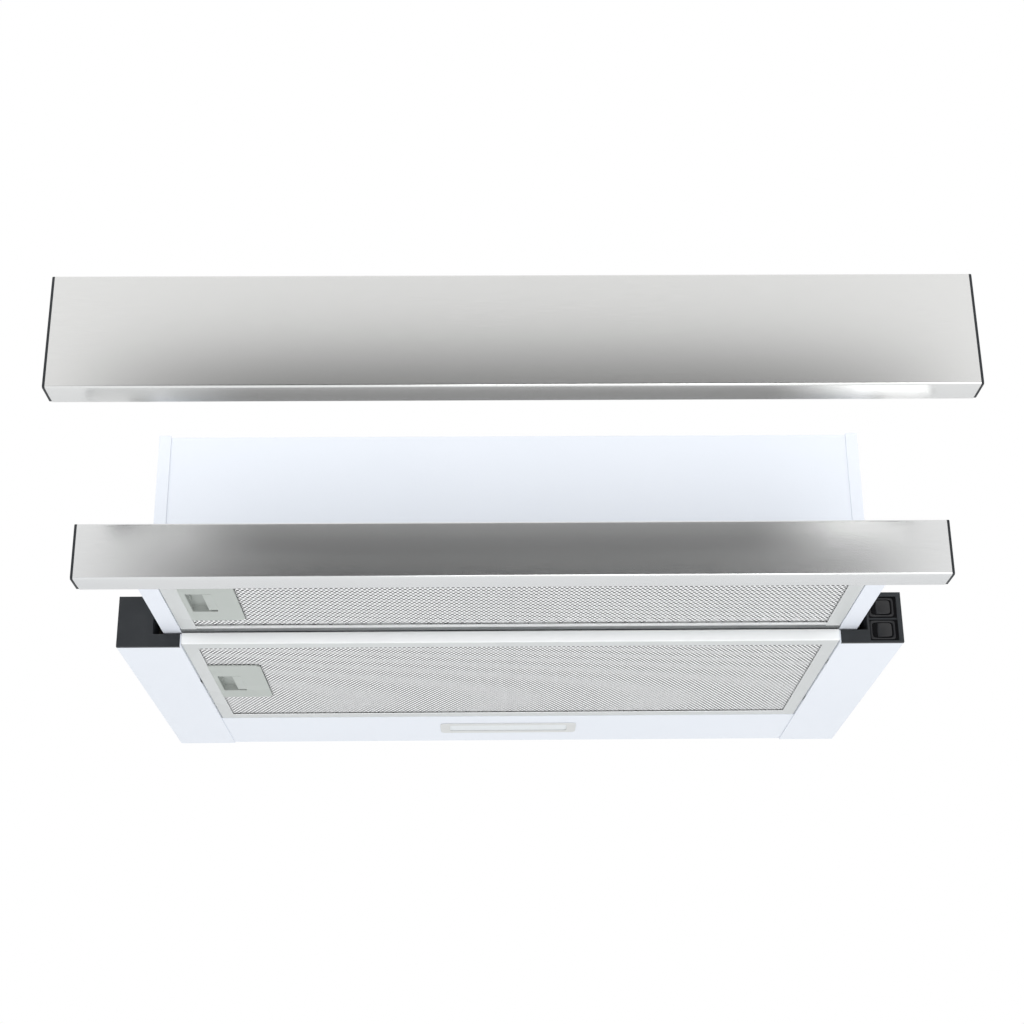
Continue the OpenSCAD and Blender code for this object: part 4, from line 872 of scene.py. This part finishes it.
for name, (y0, depth, z0, thick, left, back, latch_y, hooks) in cassettes.items():
    body = name + "_filter"
    piece(name.title() + "_Filter_Border", border_frame(y0, depth, z0, thick, left, back, hooks),
          filter_aluminium_painted_walls, body, name + "_filter_frame", smooth=30.0)
    low = y0 + border - sheet_lap
    high = y0 + depth - back + (sheet_lap if name == "rear" else -short_of_bead)
    for half_name in ("Left", "Right"):
        large_piece(f"{name.title()}_Perforated_{half_name}",
                    perforated(low, high, z0 + sheet_up, latch_y, half_name == "Right"),
                    perforated_aluminium, body, name + "_filter_sheet")
    node[name + "_filter_core"].data.materials.clear()
    node[name + "_filter_core"].data.materials.append(mesh_painted_shade)

# along the back of the front cassette: the bead at the sheet's edge, and behind it the rail, which
# is a bar with a thin tongue that reaches the bead
bead_x, tongue_x, bar_x = (-237.2, 238.2), (-237.4, 238.3), (-249.4, 249.4)
bead = bend_corners([(-165.0, -166.12), (-161.6, -166.12), (-161.6, -165.7), (-165.0, -164.55)],
                    [0.5, 0.2, 0.1, 0.1], 4)
piece("Front_Filter_Rear_Bead", along(bead, "X", *bead_x), filter_aluminium_painted_walls, "front_filter",
      "front_filter_frame", smooth=50.0)
# the rail is painted dark grey: painted shade in the gap before the rear filter
rail_painted_shade = rolled("Filter_Rail_Painted_Shade", (0.16, 0.168, 0.172), (0.14, 0.147, 0.15), 0.5,
                        cloud_scale=25.0, line_scale=900.0, metallic=0.15)
rail_tongue = bend_corners(rectangle(-161.6, -166.1, -158.7, -165.9), 0.05, 2)
rail_bar = bend_corners([(-159.0, -166.1), (-153.68, -166.05), (-153.68, -160.0), (-159.0, -160.0)], 0.3, 4)
piece("Front_Filter_Rear_Rail", gathered(along(rail_tongue, "X", *tongue_x), along(rail_bar, "X", *bar_x)),
      rail_painted_shade, "front_filter", "front_filter_frame", smooth=50.0)


# Latches. A grey-painted plate with a window, and in the window a sunk cup with a thumb tab that
# slides to the right against a spring and draws its bolt out of the lip.
latch_aluminium = rolled("Latch_Aluminium", (0.50, 0.53, 0.50), (0.475, 0.505, 0.475), 0.45,
                         cloud_scale=30.0, metallic=0.35)
# the cup is painted darker than the plate and tab: painted shade in the sunk recess
cup_painted_shade = rolled("Latch_Cup_Painted_Shade", (0.40, 0.425, 0.40), (0.38, 0.405, 0.38), 0.45,
                       cloud_scale=30.0, metallic=0.35)
painted_by_facing(cup_painted_shade, (0.41, 0.43, 0.41), near=0.35, far=0.75)
# the cup's walls lean outwards by the undercut (left, back) times their height, from the waist up
cup_depth, wall_slope, undercut, waist_up, back_up = 4.5, 0.5, (0.30, 0.20), 1.1, 6.0
bolt_left, bolt_half = -249.7, 6.0
# heights over the cassette's underside
plate_rise, cup_rise, bolt_rise, tab_rise = (-0.03, 1.0), (0.05, 7.0), (3.2, 5.0), (-0.22, 0.5)
# for each: the plate (x, y), its window, the cup, and the thumb tab, as low and high corners
latch_places = {"front": ((-237.2, -271.0, -197.5, -181.0), (-233.5, -241.6, -214.9, -202.0),
                          (-233.4, -241.5, -220.4, -202.2), (-221.0, -241.4, -214.2, -206.3)),
                "rear": ((-238.4, -95.0, -197.5, -4.3), (-235.1, -66.4, -216.6, -24.6),
                         (-235.0, -66.3, -222.5, -25.3), (-223.1, -66.2, -215.9, -28.9))}


def holed_plate(outside, inside, z0, z1):
    """A flat plate with a window: two outlines with the same number of points, and faces between
    them below, inside, above and outside."""
    loops = [np.insert(outline, 2, z, axis=1)
             for outline, z in ((outside, z0), (inside, z0), (inside, z1), (outside, z1))]
    return rings(loops, True)


def over(z0, rise):
    """Two heights given over a third one."""
    return z0 + rise[0], z0 + rise[1]


def corners_of(place, radii):
    """A rectangle's outline with a radius for each corner: front left, front right, back right,
    back left."""
    return bend_corners(rectangle(*place), radii, 6)


def cup_fall(x, y, width, length):
    """How deep the cup is: steep walls at its rim, a small fillet at their foot, and a floor that is
    0.9 mm less deep at the right end."""
    apart = np.minimum(np.minimum(x, width - x), np.minimum(y, length - y)) - 0.25
    near = np.clip(apart / wall_slope, 0, 1)
    floor = cup_depth - 0.9 * x / width
    return np.where(apart < 0, 0.0, floor * near + 0.35 * np.clip((apart - wall_slope) / 1.5, 0, 1) ** 0.5)


def hollowed_block(x0, y0, x1, y1, z0, z1, fall):
    """A block whose underside rises from z0 by a fall worked out over a grid of places. The deeper a
    place, the further it moves left and back, so those two walls are undercut, and the block is
    wider there from its waist, a little above its rim, up to its flat top."""
    def places(length):
        inner = np.linspace(0.3, length - 0.3, int(length / 0.35))
        return np.concatenate([[0.0, 0.24], inner, [length - 0.24, length]])
    x, y = np.meshgrid(places(x1 - x0), places(y1 - y0), indexing="ij")
    depth = fall(x, y, x1 - x0, y1 - y0)
    left, back = undercut[0] * (1 - x / (x1 - x0)), undercut[1]
    rows, cols = x.shape
    size = rows * cols
    edge = np.concatenate([np.arange(cols), np.arange(1, rows) * cols + cols - 1,
                           (rows - 1) * cols + np.arange(cols - 2, -1, -1), np.arange(rows - 2, 0, -1) * cols])

    def sheared(deep, z):
        return np.stack([x + x0 - left * deep, y + y0 + back * deep, z], -1).reshape(-1, 3)
    low, wide = sheared(depth, z0 + depth), sheared(back_up, np.full(x.shape, z1))
    waist = sheared(0.0, np.full(x.shape, z0 + waist_up))[edge]
    i, j = np.meshgrid(np.arange(rows - 1), np.arange(cols - 1), indexing="ij")
    first = i * cols + j
    sheet = np.stack([first, first + 1, first + cols + 1, first + cols], -1).reshape(-1, 4)
    ring = np.arange(len(edge)) + 2 * size
    on, ring_on = np.roll(edge, -1), np.roll(ring, -1)
    sides = [np.stack([edge, on, ring_on, ring], -1), np.stack([ring, ring_on, on + size, edge + size], -1)]
    return np.vstack([low, wide, waist]), np.vstack([sheet, sheet[:, ::-1] + size, *sides]).tolist()


for name, (plate, window, cup, tab) in latch_places.items():
    z0, mid = cassettes[name][2], cassettes[name][6]
    outline, hole = corners_of(plate, (0.3, 5.0, 5.0, 0.3)), corners_of(window, (0.5, 0.5, 0.5, 0.5))
    piece(name.title() + "_Latch_Plate_Cut", holed_plate(outline, hole, *over(z0, plate_rise)),
          latch_aluminium, name + "_filter", name + "_latch_plate", 0.12)
    bolt = rectangle(bolt_left, mid - bolt_half, cup[0] + 1.5, mid + bolt_half)
    bolt = along(bolt, "Z", *over(z0, bolt_rise))
    hollow = hollowed_block(*cup, *over(z0, cup_rise), cup_fall)
    piece(name.title() + "_Latch_Cup", gathered(hollow, bolt), cup_painted_shade, name + "_filter_latch",
          name + "_latch", smooth=40.0)
    thumb = along(corners_of(tab, (0.3, 0.8, 0.8, 0.3)), "Z", *over(z0, tab_rise))
    piece(name.title() + "_Latch_Tab", thumb, latch_aluminium, name + "_filter_latch",
          name + "_latch", 0.15, smooth=40.0)


# Duct collar. A black moulding: a square flange screwed to the top panel and a round collar for the
# duct, with two thin aluminium flaps that the air lifts and that fall shut against the backdraft.
softened("duct_spigot", black_plastic, "housing", 0.4)
flap_metal = rolled("Flap_Aluminium", (0.74, 0.75, 0.76), (0.69, 0.70, 0.71), 0.34)
for side in ("front", "rear"):
    softened(side + "_flap", flap_metal, side + "_backdraft_flap", 0.2)


# Blower. A galvanised scroll of one rolled strip between two cheeks, with the impeller between the
# two inlets, and the motor held outside the right cheek by a three-armed bracket.
galvanised = rolled("Galvanised_Scroll", (0.70, 0.72, 0.73), (0.60, 0.62, 0.64), 0.36, cloud_scale=130.0)
for name in ("scroll_wrap", "scroll_left_cheek", "scroll_right_cheek"):
    softened(name, galvanised, "housing", 0.25, smooth=25.0)
impeller_plastic = moulding("Impeller_Plastic", (0.052, 0.055, 0.062), (0.065, 0.068, 0.075),
                            (0.10, 0.105, 0.11), 0.42)
softened("impeller", impeller_plastic, "rotor", 0.15)
shaft_steel = rolled("Ground_Shaft_Steel", (0.72, 0.72, 0.73), (0.68, 0.68, 0.69), 0.18, cloud_scale=500.0)
softened("motor_shaft", shaft_steel, "rotor", 0.3)
motor_steel = rolled("Motor_Body_Steel", (0.42, 0.43, 0.45), (0.37, 0.38, 0.40), 0.38)
softened("motor", motor_steel, "housing", 0.8, 3)
softened("motor_bracket", galvanised, "housing", 0.3)


# Electrics. A white motor capacitor in a saddle, a black terminal box and its cable gland, all on
# the top panel, where the installer wires the hood to the supply.
softened("capacitor", driver_look, "housing", 1.0, 3)
softened("terminal_box", black_plastic, "housing", 0.6)
softened("cable_gland", black_plastic, "housing", 0.4)
